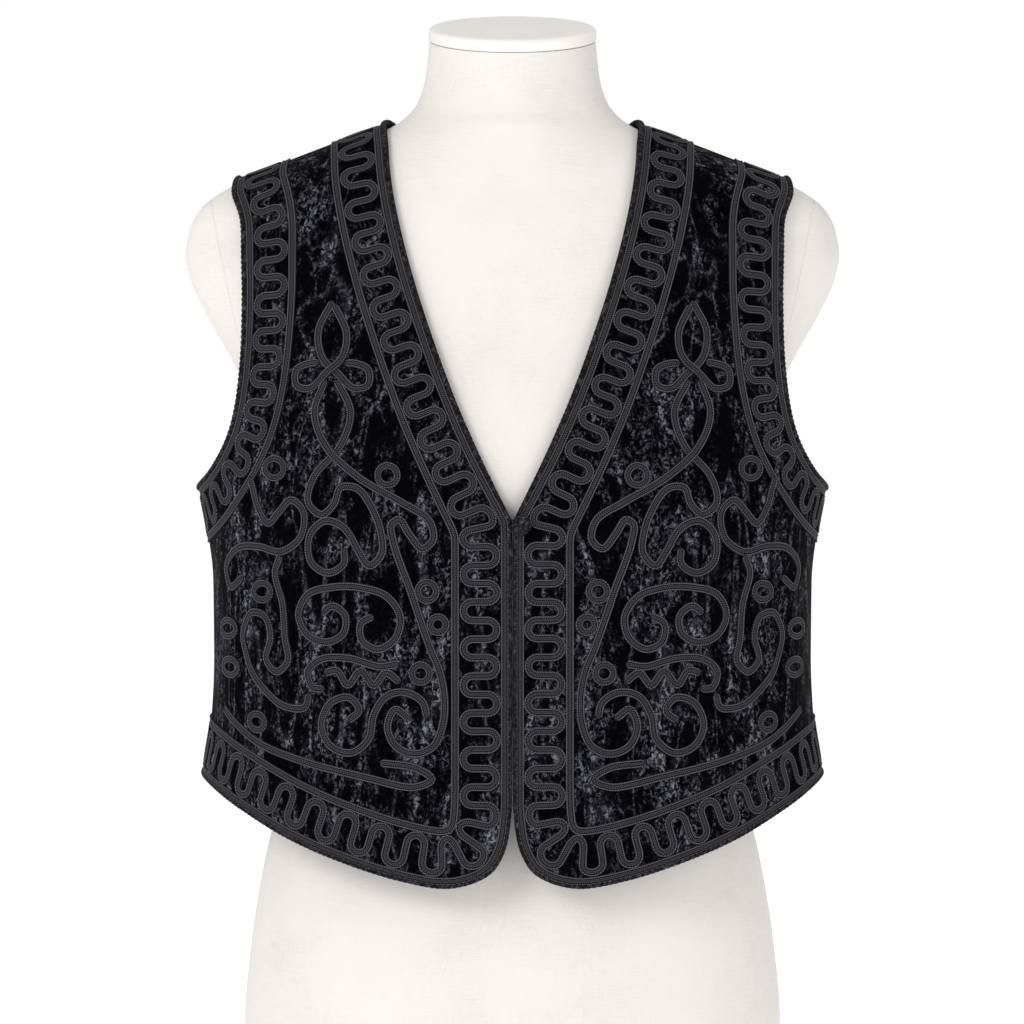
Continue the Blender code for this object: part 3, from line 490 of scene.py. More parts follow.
def neck_edge():
    """The whole neckline, from the +X front's lowest point up, round the back and down the other side."""
    front = on_front(NECKLINE["across"], NECKLINE["height"])
    behind = on_back(BACK_NECKLINE["across"], BACK_NECKLINE["height"])
    return whole_edge(np.vstack([front, NECK_POINT, behind]))


def hem_edge():
    """The whole lower edge, from the +X front's rounded corner round the back to the other front's."""
    front = on_front(HEM["across"], HEM["height"])
    behind = on_back(BACK_HEM["across"], BACK_HEM["height"])
    return whole_edge(np.vstack([front, HEM_SIDE, behind]))


def armhole_edge():
    """The +X armhole, from the underarm up its front, over the shoulder and down behind."""
    front = on_side(-ARMHOLE["front"], ARMHOLE["height"])
    behind = on_side(ARMHOLE["back"], ARMHOLE["height"])
    points = np.vstack([UNDERARM, front, SHOULDER_TIP, behind[::-1]])
    return settle(smooth_path(points, FINE, closed=True))


def border_edge():
    """The whole outer edge as one closed path: neckline, centre front, hem and back to the start."""
    neck = neck_edge()
    hem = hem_edge()
    straight = settle(resample(np.vstack([neck[0], hem[0]]), STRAIGHT_SAMPLES))
    other = mirrored(straight)
    return np.vstack([neck[::-1][:-1], straight[:-1], hem[:-1], other[::-1][:-1]])


def walk_in(path, distance):
    """A closed path moved sideways over the surface, away from the cut edge, in short steps."""
    distance = np.broadcast_to(distance, len(path))[:, None]
    steps = math.ceil(distance.max() / WALK_STEP)
    for _ in range(steps):
        side = sides_of(path, closed=True)[1]
        path = settle(averaged(settle(path + side * distance / steps)))
    return path


def patch(bottom, top, left, right, shares):
    """A grid of surface points inside four edge paths.

    Each point is the mix of the edges up plus the mix across, less the mix of the corners, and settles."""
    left, right = at_shares(left, shares), at_shares(right, shares)
    across = np.linspace(0, 1, len(bottom))[None, :, None]
    up = shares[:, None, None]
    mixed = (1 - up) * bottom[None] + up * top[None] + (1 - across) * left[:, None] + across * right[:, None]
    corners = (1 - up) * ((1 - across) * bottom[0] + across * bottom[-1])
    corners = corners + up * ((1 - across) * top[0] + across * top[-1])
    grid = settle(mixed - corners, 8)
    for edge, path in ((np.s_[0], bottom), (np.s_[-1], top), (np.s_[:, 0], left), (np.s_[:, -1], right)):
        grid[edge] = path
    return grid


def level_row(start, end, behind=False):
    """A path round a quarter of the body, from the middle to the side.

    across = half * sin(turn) ** (2 / square), deep = depth * cos(turn) ** (2 / square)."""
    turn = np.linspace(0, math.pi / 2, LEVEL_SAMPLES)
    height = np.linspace(start, end, LEVEL_SAMPLES)
    half, front, back, square = ring_sizes(CLOTH, height)
    across = half * np.sin(turn) ** (2 / square)
    deep = np.cos(turn) ** (2 / square) * np.where(behind, back, -front)
    return np.stack([across, deep, height], axis=1)


def seam(start, end):
    """A straight seam, settled onto the surface."""
    return settle(np.linspace(start, end, SEAM_SAMPLES))


def middle_back(low, high):
    """The line up the middle of the back between two heights."""
    heights = np.linspace(low, high, SEAM_SAMPLES)
    return on_back(0 * heights, heights)


def row_shares(low, high):
    """Shares up the body and up the yoke at which the rows of faces lie."""
    return np.linspace(0, 1, low + 1), 1 - (1 - np.linspace(0, 1, high + 1)) ** SHOULDER_CROWD


def front_grid():
    """The +X front's outer points, rows from the hem to the shoulder."""
    across = FRONT_CELLS[0] + 1
    low, high = row_shares(*FRONT_CELLS[1:])
    neck, hem, armhole = neck_edge(), hem_edge(), armhole_edge()
    corner = on_front(HEM["across"][CORNER], HEM["height"][CORNER])
    inner = np.vstack([between(hem, corner, hem[0]), neck[0]])
    side = seam(HEM_SIDE, UNDERARM)
    row = resample(level_row(NECKLINE["height"][0], UNDERARM[2]), across)
    row[0] = neck[0]
    body = patch(resample(between(hem, corner, HEM_SIDE), across), row, inner, side, low)
    ridge = resample(seam(NECK_POINT, SHOULDER_TIP), across)
    front_armhole = between(armhole[: len(armhole) // 2 + SHOULDER_REACH], UNDERARM, SHOULDER_TIP)
    front_neck = between(neck[: len(neck) // 2], neck[0], NECK_POINT)
    return np.vstack([body, patch(row, ridge, front_neck, front_armhole, high)[1:]])


def back_grid():
    """The whole back's outer points, from the -X side to the +X side."""
    across = BACK_CELLS[0] + 1
    low, high = row_shares(*BACK_CELLS[1:])
    neck, hem, armhole = neck_edge(), hem_edge(), armhole_edge()
    middle_hem = on_back(0.0, BACK_HEM["height"][-1])
    middle_neck = on_back(0.0, BACK_NECKLINE["height"][-1])
    middle_low = middle_back(middle_hem[2], UNDERARM[2])
    middle_high = middle_back(UNDERARM[2], middle_neck[2])
    side = seam(HEM_SIDE, UNDERARM)
    row = resample(level_row(UNDERARM[2], UNDERARM[2], behind=True), across)
    half_hem = hem[len(hem) // 2 :: -1][::-1]
    body = patch(resample(between(half_hem, middle_hem, HEM_SIDE), across), row, middle_low, side, low)
    half_neck = neck[: len(neck) // 2 + 1]
    ridge = seam(NECK_POINT, SHOULDER_TIP)
    neck_cells = BACK_CELLS[0] // 2
    back_neck = resample(between(half_neck, middle_neck, NECK_POINT), neck_cells + 1)
    top = np.vstack([back_neck[:-1], resample(ridge, across - neck_cells)])
    back_armhole = between(armhole[len(armhole) // 2 - SHOULDER_REACH :], UNDERARM, SHOULDER_TIP)
    yoke = patch(row, top, middle_high, back_armhole, high)
    half = np.vstack([body, yoke[1:]])
    return np.hstack([mirrored(half[:, :0:-1]), half])


def parted(points, side):
    """The seam at the side plane opened by half its gap: side is -1 in front and 1 behind."""
    points = points.copy()
    points[:, 1] = side * np.maximum(side * points[:, 1], SEAM_GAP / 2)
    return points


def without_loops(path):
    """A closed path with each small loop, where a moved corner has crossed itself, cut out and eased."""
    ring = looped(path)
    path = resample(ring, round(lengths_along(ring)[-1] / LOOP_STEP))[:-1]
    keep = np.ones(len(path), bool)
    for k in range(len(path)):
        if not keep[k]:
            continue
        ahead = (k + np.arange(*LOOP_SAMPLES)) % len(path)
        apart = size_of(path[ahead] - path[k])
        best = apart.argmin()
        if apart[best] < LOOP_STEP:
            keep[(k + 1 + np.arange(LOOP_SAMPLES[0] + best)) % len(path)] = False
    path = path[keep]
    for _ in range(CORNER_EASE):
        path = averaged(path)
    return settle(path)


def across_from(path, others):
    """For each sample of a closed path, the closest place on the other path, eased along the path."""
    found = others[size_of(path[:, None] - others[None]).argmin(axis=1)]
    for _ in range(CORNER_EASE):
        found = averaged(found)
    return found


# Lesser creases of the worn cloth, in the same columns as the folds; below zero is a trough.
FRONT_CREASES = columns(
    "across top bottom lean width depth",
    (0.060, 0.480, 0.400, -0.45, 0.0045, -0.0010),
    (0.084, 0.470, 0.350, -0.30, 0.0050, 0.0012),
    (0.098, 0.450, 0.330, -0.22, 0.0045, -0.0011),
    (0.122, 0.560, 0.430, 0.05, 0.0055, 0.0010),
    (0.137, 0.470, 0.290, -0.08, 0.0050, -0.0012),
    (0.163, 0.400, 0.240, -0.04, 0.0050, 0.0013),
    (0.171, 0.390, 0.230, 0.02, 0.0040, -0.0012),
    (0.145, 0.350, 0.225, -0.10, 0.0045, 0.0012),
    (0.090, 0.340, 0.220, 0.06, 0.0050, -0.0009),
    (0.070, 0.330, 0.225, -0.05, 0.0045, 0.0009),
)
BACK_CREASES = columns(
    "across top bottom lean width depth",
    (0.020, 0.420, 0.235, 0.02, 0.0055, -0.0011),
    (0.041, 0.470, 0.250, -0.06, 0.0050, 0.0012),
    (0.082, 0.430, 0.240, 0.04, 0.0050, -0.0012),
    (0.104, 0.500, 0.260, -0.10, 0.0055, 0.0011),
    (0.139, 0.440, 0.235, 0.05, 0.0050, -0.0012),
    (0.152, 0.420, 0.240, -0.03, 0.0045, 0.0012),
    (0.110, 0.600, 0.480, -0.15, 0.0055, -0.0009),
)


def rise_of(folds, across, height):
    """Ridges along leaning lines: depth times a bell of the distance from the line, times sin squared
    of the share of the way down it."""
    place, top, bottom, lean, width, depth = (folds[name][:, None] for name in folds)
    off = across[None] - place - lean * (height[None] - (top + bottom) / 2)
    run = np.clip((height[None] - bottom) / (top - bottom), 0, 1)
    return (depth * np.exp(-((off / width) ** 2)) * np.sin(math.pi * run) ** 2).sum(axis=0)


def nearest(points, others):
    """The distance from each point to the closest of the others, worked out a block at a time."""
    found = []
    for block in np.array_split(points, max(1, len(points) // BLOCK)):
        apart = (block**2).sum(1)[:, None] + (others**2).sum(1)[None] - 2 * block @ others.T
        found.append(np.sqrt(np.maximum(apart.min(axis=1), 0)))
    return np.concatenate(found)


def relief(points, edges):
    """How far the worn cloth stands out from the smooth body: folds and creases, eased out at the bands."""
    across, height = np.abs(points[:, 0]), points[:, 2]
    front = rise_of(FRONT_FOLDS, across, height) + rise_of(FRONT_CREASES, across, height)
    behind = rise_of(BACK_FOLDS, across, height) + rise_of(BACK_CREASES, across, height)
    ease = np.clip((nearest(points, edges) - FOLD_CLEAR[0]) / (FOLD_CLEAR[1] - FOLD_CLEAR[0]), 0, 1)
    return np.where(points[:, 1] < 0, front, behind) * ease * ease * (3 - 2 * ease)


def added(name, data):
    """A new object in the scene."""
    made = bpy.data.objects.new(name, data)
    bpy.context.scene.collection.objects.link(made)
    return made


def piece(name, points, faces, finish, slot, stands_for, places=None):
    """A mesh piece at the origin that rides on the form.

    Its faces are turned where needed, so that the volume that they hold is above zero."""
    faces = np.asarray(faces)
    a, b, c, d = (points[faces[:, k]] for k in range(4))
    volume = (a * np.cross(b, c)).sum() + (a * np.cross(c, d)).sum()
    if volume < 0:
        faces = faces[:, ::-1]
        places = None if places is None else places[:, ::-1]
    name = f"{name}_{slot}"
    mesh = bpy.data.meshes.new(name)
    mesh.from_pydata(points.tolist(), [], faces.tolist())
    if places is not None:
        layer = mesh.uv_layers.new(name="along")
        layer.data.foreach_set("uv", places.reshape(-1).astype(np.float32))
    mesh.shade_smooth()
    mesh.materials.append(finish)
    made = added(name, mesh)
    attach(made, "root")
    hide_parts(*stands_for)
    return made


def grid_faces(rows, cols, around=False, over=False):
    """The four-sided faces of a grid of points, row by row; around joins the last column to the first."""
    lengthwise = np.arange(rows if over else rows - 1)
    r, c = np.meshgrid(lengthwise, np.arange(cols if around else cols - 1), indexing="ij")
    up, side = (r + 1) % rows, (c + 1) % cols
    corners = (r * cols + c, r * cols + side, up * cols + side, up * cols + c)
    return np.stack([corner.ravel() for corner in corners], axis=1)


def face_places(across, along):
    """The surface places of each face's four corners, from a grid a row and a column larger."""
    spot = np.stack(np.broadcast_arrays(across, along), axis=2)
    corners = (spot[:-1, :-1], spot[:-1, 1:], spot[1:, 1:], spot[1:, :-1])
    return np.stack(corners, axis=2).reshape(-1, 4, 2)


def velvet_panel(name, grid, seam_side, edges, finish):
    """A thin closed shell of cloth: the outer grid with its folds, the same grid a wall inwards, and a rim.

    The rim's faces join the two grids round their edge. seam_side is -1 for a front and 1 for the back."""
    rows, cols = grid.shape[:2]
    flat = grid.reshape(-1, 3)
    up = outward(flat)
    outer = flat + up * relief(flat, edges)[:, None]
    inner = outer - up * WALL
    points = np.vstack([parted(outer, seam_side), parted(inner, seam_side)])
    number = np.arange(rows * cols).reshape(rows, cols)
    rim = np.r_[number[0, :-1], number[:-1, -1], number[-1, :0:-1], number[:0:-1, 0]]
    after = np.roll(rim, -1)
    sheet = grid_faces(rows, cols)
    back = sheet[:, ::-1] + rows * cols
    walls = np.stack([after, rim, rim + rows * cols, after + rows * cols], axis=1)
    return piece(name, points, np.vstack([sheet, back, walls]), finish, "velvet", [name])


def sides_of(path, closed):
    """The cloth's normal at each sample of a path, and the direction across the path."""
    ahead = np.roll(path, -1, axis=0) - np.roll(path, 1, axis=0)
    if not closed:
        ahead[0] = path[1] - path[0]
        ahead[-1] = path[-1] - path[-2]
    up = outward(path)
    return up, unit(np.cross(up, ahead))


def sweep(name, path, lift, section, closed, finish, slot, stands_for):
    """A section carried along a path: point = path + across * side + (lift + height) * up.

    section holds across and height for each sample. The place on the surface is the share across the
    section, 0 at one side and 1 at the other, and the length along the path, in metres."""
    up, side = sides_of(path, closed)
    count, sides = section.shape[:2]
    base = path + up * lift[:, None]
    points = base[:, None] + section[..., :1] * side[:, None] + section[..., 1:] * up[:, None]
    faces = grid_faces(count, sides, around=True, over=closed)
    along = lengths_along(looped(path))
    spans = count if closed else count - 1
    across = section[0, :, 0]
    share = (across - across.min()) / np.ptp(across)
    places = face_places(np.r_[share, share[0]], along[: spans + 1, None])
    if not closed:
        faces, places = capped(faces, places, count, sides)
    return piece(name, points.reshape(-1, 3), faces, finish, slot, stands_for, places)


def end_faces(rows, cols):
    """Strips of faces across the first and the last ring of a grid, which close it."""
    k = np.arange(cols // 2 - 1)
    near = np.stack([cols - 1 - k, cols - 2 - k, k + 1, k], axis=1)
    return np.vstack([near, near[:, ::-1] + (rows - 1) * cols])


def capped(faces, places, rows, cols):
    """The faces of an open grid of rings, and their places on the surface, with both ends closed."""
    ends = end_faces(rows, cols)
    return np.vstack([faces, ends]), np.vstack([places, np.zeros((len(ends), 4, 2))])


def braid_section(width, height):
    """A flat braid's outline: two outline cords with two rows of stitched cords between, on a flat base.

    The height at a place is the base plus a rounded bump for each cord; the outer cords stand highest."""
    across = np.array((0.5, 0.49, 0.42, 0.33, 0.27, 0.15, 0.03))
    across = np.r_[-across, across[::-1]]
    tall = np.array((-0.1, 0.55, 1.0, 0.86, 0.58, 0.76, 0.60))
    return np.stack([across * width, np.r_[tall, tall[::-1]] * height], axis=1)


def with_round_ends(section, path, width, closed):
    """The section at each sample; near an open end it narrows as a half circle does."""
    along = lengths_along(path)
    left = np.minimum(along, along[-1] - along) / (width / 2)
    share = np.ones(len(path)) if closed else np.sqrt(1 - (1 - np.clip(left, 0.02, 1)) ** 2)
    return section[None] * np.stack([share, np.maximum(share, 0.5)], axis=1)[:, None]


def softened(values, rounds, closed):
    """Values along a path averaged with their neighbours, again and again, never below where they began."""
    low = values
    for _ in range(rounds):
        ahead, behind = np.roll(values, -1), np.roll(values, 1)
        if not closed:
            ahead[-1], behind[0] = values[-1], values[0]
        values = np.maximum(low, 0.5 * values + 0.25 * (ahead + behind))
    return values


def climb(path, width, laid, closed):
    """The rise of a strand over those laid before it, and over its own earlier stretch where it crosses."""
    gap = np.full(len(path), 1.0)
    if len(laid):
        gap = nearest(path, laid)
    if not closed:
        along = lengths_along(path)
        apart = size_of(path[:, None] - path[None])
        apart[along[:, None] - along[None] < OWN_STRETCH * width] = 1.0
        gap = np.minimum(gap, apart.min(axis=1))
    near = np.clip((width - gap) / (CLIMB_SLOPE * width), 0, 1)
    return softened(BRAID_HEIGHT * CLIMB_SHARE * near, CLIMB_EASE, closed)


def strand(name, path, width, finish, edges, laid=(), closed=False):
    """A flat braid laid on the cloth: it follows the folds and climbs over what was laid before."""
    path = settle(path)
    lift = relief(path, edges) - NAP_GAP + climb(path, width, laid, closed)
    section = with_round_ends(braid_section(width, BRAID_HEIGHT), path, width, closed)
    return sweep(name, path, lift, section, closed, finish, "braid", [name])


def evenly(path, step):
    """A closed path sampled again at even spacing."""
    ring = looped(path)
    return settle(resample(ring, round(lengths_along(ring)[-1] / step) + 1)[:-1])


def rolled_edging(name, path, share, finish):
    """The rolled edge: a round section whose radius swells at each whip stitch, slanting round the roll.

    radius = width share * (least + swell * |cos(pi * length / pitch + angle / 2)| ** 0.7), and the roll's
    middle lies at 0.42 of its height."""
    along = lengths_along(looped(path))
    path = evenly(path, ROLL_STEP)
    places = np.linspace(0, 1, len(path) + 1)[:-1]
    wide = np.interp(places, along / along[-1], np.r_[share, share[0]])
    along = lengths_along(looped(path))
    pitch = along[-1] / round(along[-1] / KNOB_PITCH)
    turn = round_turn(ROLL_SIDES)
    wave = np.abs(np.cos(math.pi * along[:-1, None] / pitch + turn[None] / 2))
    swell = (KNOB_LEAST + KNOB_SWELL * wave**0.7) * wide[:, None]
    across = -swell * np.sin(turn)[None] * ROLL_WIDTH / 2
    height = (0.42 * wide[:, None] + 0.58 * swell * np.cos(turn)[None]) * ROLL_HEIGHT
    section = np.stack([across, height], axis=2)
    return sweep(name, path, np.zeros(len(path)), section, True, finish, "velvet", [name])


def meander(outer, inner, seed):
    """A serpentine between two closed paths that match sample by sample: half circles at each side in turn.

    place = middle - radius * cos(angle), share across = 1 - radius / reach * (1 - sin(angle)), and the
    straight runs between are left to the even sampling."""
    outer, inner = looped(outer), looped(inner)
    along = lengths_along((outer + inner) / 2)
    halves = 2 * round(along[-1] / MEANDER_PERIOD)
    half_wave = along[-1] / halves
    angles = np.linspace(0, math.pi, MEANDER_SAMPLES)
    place = (np.arange(halves)[:, None] * half_wave + half_wave * (0.5 - 0.5 * np.cos(angles))).ravel()
    knots = np.random.default_rng(seed).uniform(-1, 1, (2, halves))
    middles = np.arange(halves) * half_wave + half_wave / 2
    wander = [np.interp(place, middles, row, period=along[-1]) for row in knots]
    place = (place + MEANDER_WANDER * wander[0]) % along[-1]
    ends = [at_lengths(path, along, place) for path in (outer, inner)]
    reach = size_of(ends[0] - ends[1]) / 2
    swing = 1 - half_wave / 2 / reach * (1 - np.tile(np.sin(angles), halves))
    swing += MEANDER_SWAY * MEANDER_WANDER / reach * wander[1]
    turn = np.repeat(np.where(np.arange(halves) % 2, -1, 1), len(angles))
    share = (0.5 + 0.5 * turn * swing)[:, None]
    return evenly(settle(share * ends[0] + (1 - share) * ends[1]), STRAND_STEP)


def band(prefix, edge, share, edges, braid, roll, seed):
    """A border inside a cut edge: the rolled edge, a line, a serpentine and a second line.

    share narrows the roll at each sample of the edge, and draws the first line towards the edge."""
    middle = without_loops(walk_in(edge, EDGE_TO_MIDDLE))
    inner = without_loops(walk_in(middle, EDGE_TO_INNER_LINE - EDGE_TO_MIDDLE))
    outer = walk_in(edge, EDGE_TO_OUTER_LINE * share)
    made = [rolled_edging(f"{prefix}_edging", walk_in(edge, EDGE_TO_ROLL * share), share, roll)]
    lines = [evenly(path, STRAND_STEP) for path in (outer, inner)]
    for name, path in zip(("line_outer", "line_inner"), lines):
        made.append(strand(f"{prefix}_{name}", path, BRAID_WIDTH, braid, edges, closed=True))
    far = across_from(outer, inner)
    toward = unit(far - outer) * MEANDER_GAP
    wave = meander(outer + toward, far - toward, seed)
    laid = np.vstack(lines)
    made.append(strand(f"{prefix}_serpentine", wave, BRAID_WIDTH, braid, edges, laid, closed=True))
    return made, lines[1]


def scrolls(side, hand, edges, braid, laid):
    """The laid figures of one front: strands that cross in turn, and rings."""
    made = []
    for name, points in SCROLLS.items():
        places = np.array(points) / 1000
        path = settle(smooth_path(on_front(hand * places[:, 0], places[:, 1]), STRAND_STEP))
        made.append(strand(f"scroll_{side}_{name}", path, BRAID_WIDTH, braid, edges, laid))
        laid = np.vstack([laid, path])
    turn = round_turn(RING_SAMPLES)
    for k, (across, height, radius) in enumerate(zip(*RINGS.values())):
        places = (across + radius * np.cos(turn)) / 1000, (height + radius * np.sin(turn)) / 1000
        path = on_front(hand * places[0], places[1])
        made.append(strand(f"ring_{side}_{k + 1}", path, RING_WIDTH, braid, edges, laid, closed=True))
    return made


def button(finish):
    """The covered button: a domed disc turned round the cloth's normal, its cloth gathered behind.

    radius = profile radius * (1 + depth * sin(gathers * angle), which fades out towards the front)."""
    place = settle(on_front(*BUTTON_PLACE)[None])
    normal = outward(place)[0]
    across = np.array((1.0, 0.0, 0.0))
    up = np.cross(normal, across)
    turn = round_turn(BUTTON_SIDES)
    swing = np.linspace(-0.45 * math.pi, 0.5 * math.pi, BUTTON_ROWS)
    wide = BUTTON_RADIUS * np.cos(swing) ** 0.8
    high = BUTTON_RADIUS * (0.72 + 0.62 * np.sin(swing))
    gather = GATHER_DEPTH * np.clip(-np.sin(swing), 0, 1)[:, None] * np.sin(GATHERS * turn)[None]
    reach = wide[:, None] * (1 + gather)
    reach[-1] = 0.00005
    base = place[0] + normal * BUTTON_RISE
    flat = reach[..., None] * (np.cos(turn)[:, None] * across + np.sin(turn)[:, None] * up)[None]
    points = (base + high[:, None, None] * normal + flat).reshape(-1, 3)
    rows, cols = reach.shape
    faces = np.vstack([grid_faces(rows, cols, around=True), end_faces(rows, cols)])
    return piece("button", points, faces, finish, "velvet", ["button"])


def form_ring_points(heights):
    """The form's level rings: superellipses of the table's sizes, the neck sloping with its cap."""
    turn = round_turn(FORM_SIDES)
    half, front, back, square = (size[:, None] for size in ring_sizes(FORM, heights))
    sine, cosine = np.sin(turn)[None], -np.cos(turn)[None]
    across = half * np.sign(sine) * np.abs(sine) ** (2 / square)
    depth = np.where(cosine < 0, front, back)
    deep = depth * np.sign(cosine) * np.abs(cosine) ** (2 / square)
    slope = np.clip((heights[:, None] - NECK_FOOT) / (NECK_TOP - NECK_FOOT), 0, 1)
    level = heights[:, None] + slope * deep * math.tan(CAP_TILT)
    return np.stack([across, deep, level], axis=2)


def dress_form(finish):
    """The form as one smooth closed skin; its cloth's threads run round it and up it."""
    low = np.linspace(0, FORM_CROWD, FORM_ROWS // 2)
    heights = np.r_[low, np.linspace(FORM_CROWD, NECK_TOP, FORM_ROWS // 2)[1:]]
    rings = form_ring_points(heights)
    rows, cols = rings.shape[:2]
    faces = grid_faces(rows, cols, around=True)
    joined = np.concatenate([rings, rings[:, :1]], axis=1)
    around = np.cumsum(size_of(np.diff(joined, axis=1)), axis=1)
    around = np.concatenate([np.zeros((rows, 1)), around], axis=1)
    around -= around[:, cols // 2 : cols // 2 + 1]
    level = np.repeat(heights[:, None], cols + 1, axis=1)
    faces, places = capped(faces, face_places(around, level), rows, cols)
    made = piece("dress_form", rings.reshape(-1, 3), faces, finish, "linen", ["dress_form"], places)
    made.data.set_sharp_from_angle(angle=math.radians(50))
    return made


def neck_cap(finish):
    """The cap: oval rings on the neck's slope, from under the lip round the rim and in to the middle."""
    half, front, back, _ = (float(size) for size in ring_sizes(FORM, NECK_TOP))
    middle = (back - front) / 2
    top = SEAM_GAP + CAP_THICKNESS
    low, high = SEAM_GAP + CAP_RIM / 2, top - CAP_RIM
    turn = np.linspace(-0.5 * math.pi, 0.5 * math.pi, 9)
    rims = []
    for angle, radius, middle_height in ((turn[:5], CAP_RIM / 2, low), (turn[4:], CAP_RIM, high)):
        rims.append(np.stack([radius * (np.cos(angle) - 1), middle_height + radius * np.sin(angle)], axis=1))
    inset = np.array((0.006, 0.012, 0.020, 0.030, 0.040, 0.0462))
    table = np.stack([-inset, top + CAP_CROWN * np.sin(inset / inset[-1] * math.pi / 2)], axis=1)
    under = np.array(((-0.0400, SEAM_GAP), (-0.010, SEAM_GAP)))
    profile = np.vstack([under, *rims, table])
    round_it = round_turn(CAP_SIDES)
    inset, up = profile[:, :1], profile[:, 1:]
    across = (half + CAP_LIP + inset) * np.sin(round_it)[None]
    deep = middle - ((front + back) / 2 + CAP_LIP + inset) * np.cos(round_it)[None]
    level = NECK_TOP + deep * math.tan(CAP_TILT) + up
    points = np.stack([across, deep, level], axis=2)
    rows, cols = points.shape[:2]
    faces = np.vstack([grid_faces(rows, cols, around=True), end_faces(rows, cols)])
    return piece("neck_cap", points.reshape(-1, 3), faces, finish, "lacquer", ["neck_cap"])


class Finish:
    """A material and short calls that add its nodes."""

    def __init__(self, name, roughness, specular=0.5):
        self.made = bpy.data.materials.new(name)
        self.made.use_nodes = True
        self.nodes = self.made.node_tree.nodes
        self.links = self.made.node_tree.links
        self.shader = self.nodes["Principled BSDF"]
        self.set("Roughness", roughness)
        self.set("Specular IOR Level", specular)

    def set(self, socket, value):
        """A value on the shader's own socket."""
        self.shader.inputs[socket].default_value = value

    def into(self, value, socket):
        """A node's output linked to a socket, or a number set on it."""
        if isinstance(value, (int, float, tuple)):
            socket.default_value = value
        else:
            self.links.new(value, socket)

    def node(self, kind, **numbers):
        """A new node, with these numbers set on its inputs."""
        node = self.nodes.new("ShaderNode" + kind)
        for socket, number in numbers.items():
            node.inputs[socket].default_value = number
        return node

    def place(self, scale, output="Object"):
        """Object coordinates, or the piece's own surface places, scaled to a pattern's size in metres."""
        if output == "UV":
            start = self.node("UVMap")
            start.uv_map = "along"
        else:
            start = self.node("TexCoord")
        mapping = self.node("Mapping", Scale=[1 / size for size in scale])
        self.links.new(start.outputs[output], mapping.inputs["Vector"])
        return mapping.outputs["Vector"]

    def noise(self, scale, detail=3.0, roughness=0.5, distortion=0.0, output="Object"):
        """Soft noise between 0 and 1, of this size along each axis in metres."""
        node = self.node("TexNoise", Scale=1.0, Detail=detail, Roughness=roughness, Distortion=distortion)
        self.links.new(self.place(scale, output), node.inputs["Vector"])
        return node.outputs["Fac"]

    def sums(self, operation, *values):
        """Arithmetic on nodes' outputs and numbers."""
        node = self.node("Math")
        node.operation = operation
        for value, socket in zip(values, node.inputs):
            self.into(value, socket)
        return node.outputs[0]

    def times(self, one, other):
        return self.sums("MULTIPLY", one, other)

    def plus(self, one, other):
        return self.sums("ADD", one, other)

    def less(self, one, other):
        return self.sums("SUBTRACT", one, other)

    def split(self, output="Object"):
        """The separate parts of a place, in metres."""
        node = self.node("SeparateXYZ")
        self.links.new(self.place((1.0, 1.0, 1.0), output), node.inputs[0])
        return node.outputs

    def ramp(self, value, *stops):
        """Stops of (place, colour or grey)."""
        node = self.node("ValToRGB")
        parts = node.color_ramp.elements
        while len(parts) < len(stops):
            parts.new(1.0)
        for part, (place, colour) in zip(parts, stops):
            part.position = place
            part.color = (*colour, 1) if isinstance(colour, tuple) else (colour, colour, colour, 1)
        self.links.new(value, node.inputs["Fac"])
        return node.outputs["Color"]

    def bump(self, height, distance, strength=1.0, under=None):
        """Bumps of this height over this distance, on top of another bump where one is given."""
        node = self.node("Bump", Distance=distance, Strength=strength)
        self.links.new(height, node.inputs["Height"])
        if under is not None:
            self.links.new(under, node.inputs["Normal"])
        return node.outputs["Normal"]

    def finish(self, colour, normal=None, roughness=None):
        """The material, once its colour and what else is given are linked to its shader."""
        self.into(colour, self.shader.inputs["Base Color"])
        if normal is not None:
            self.links.new(normal, self.shader.inputs["Normal"])
        if roughness is not None:
            self.into(roughness, self.shader.inputs["Roughness"])
        return self.made


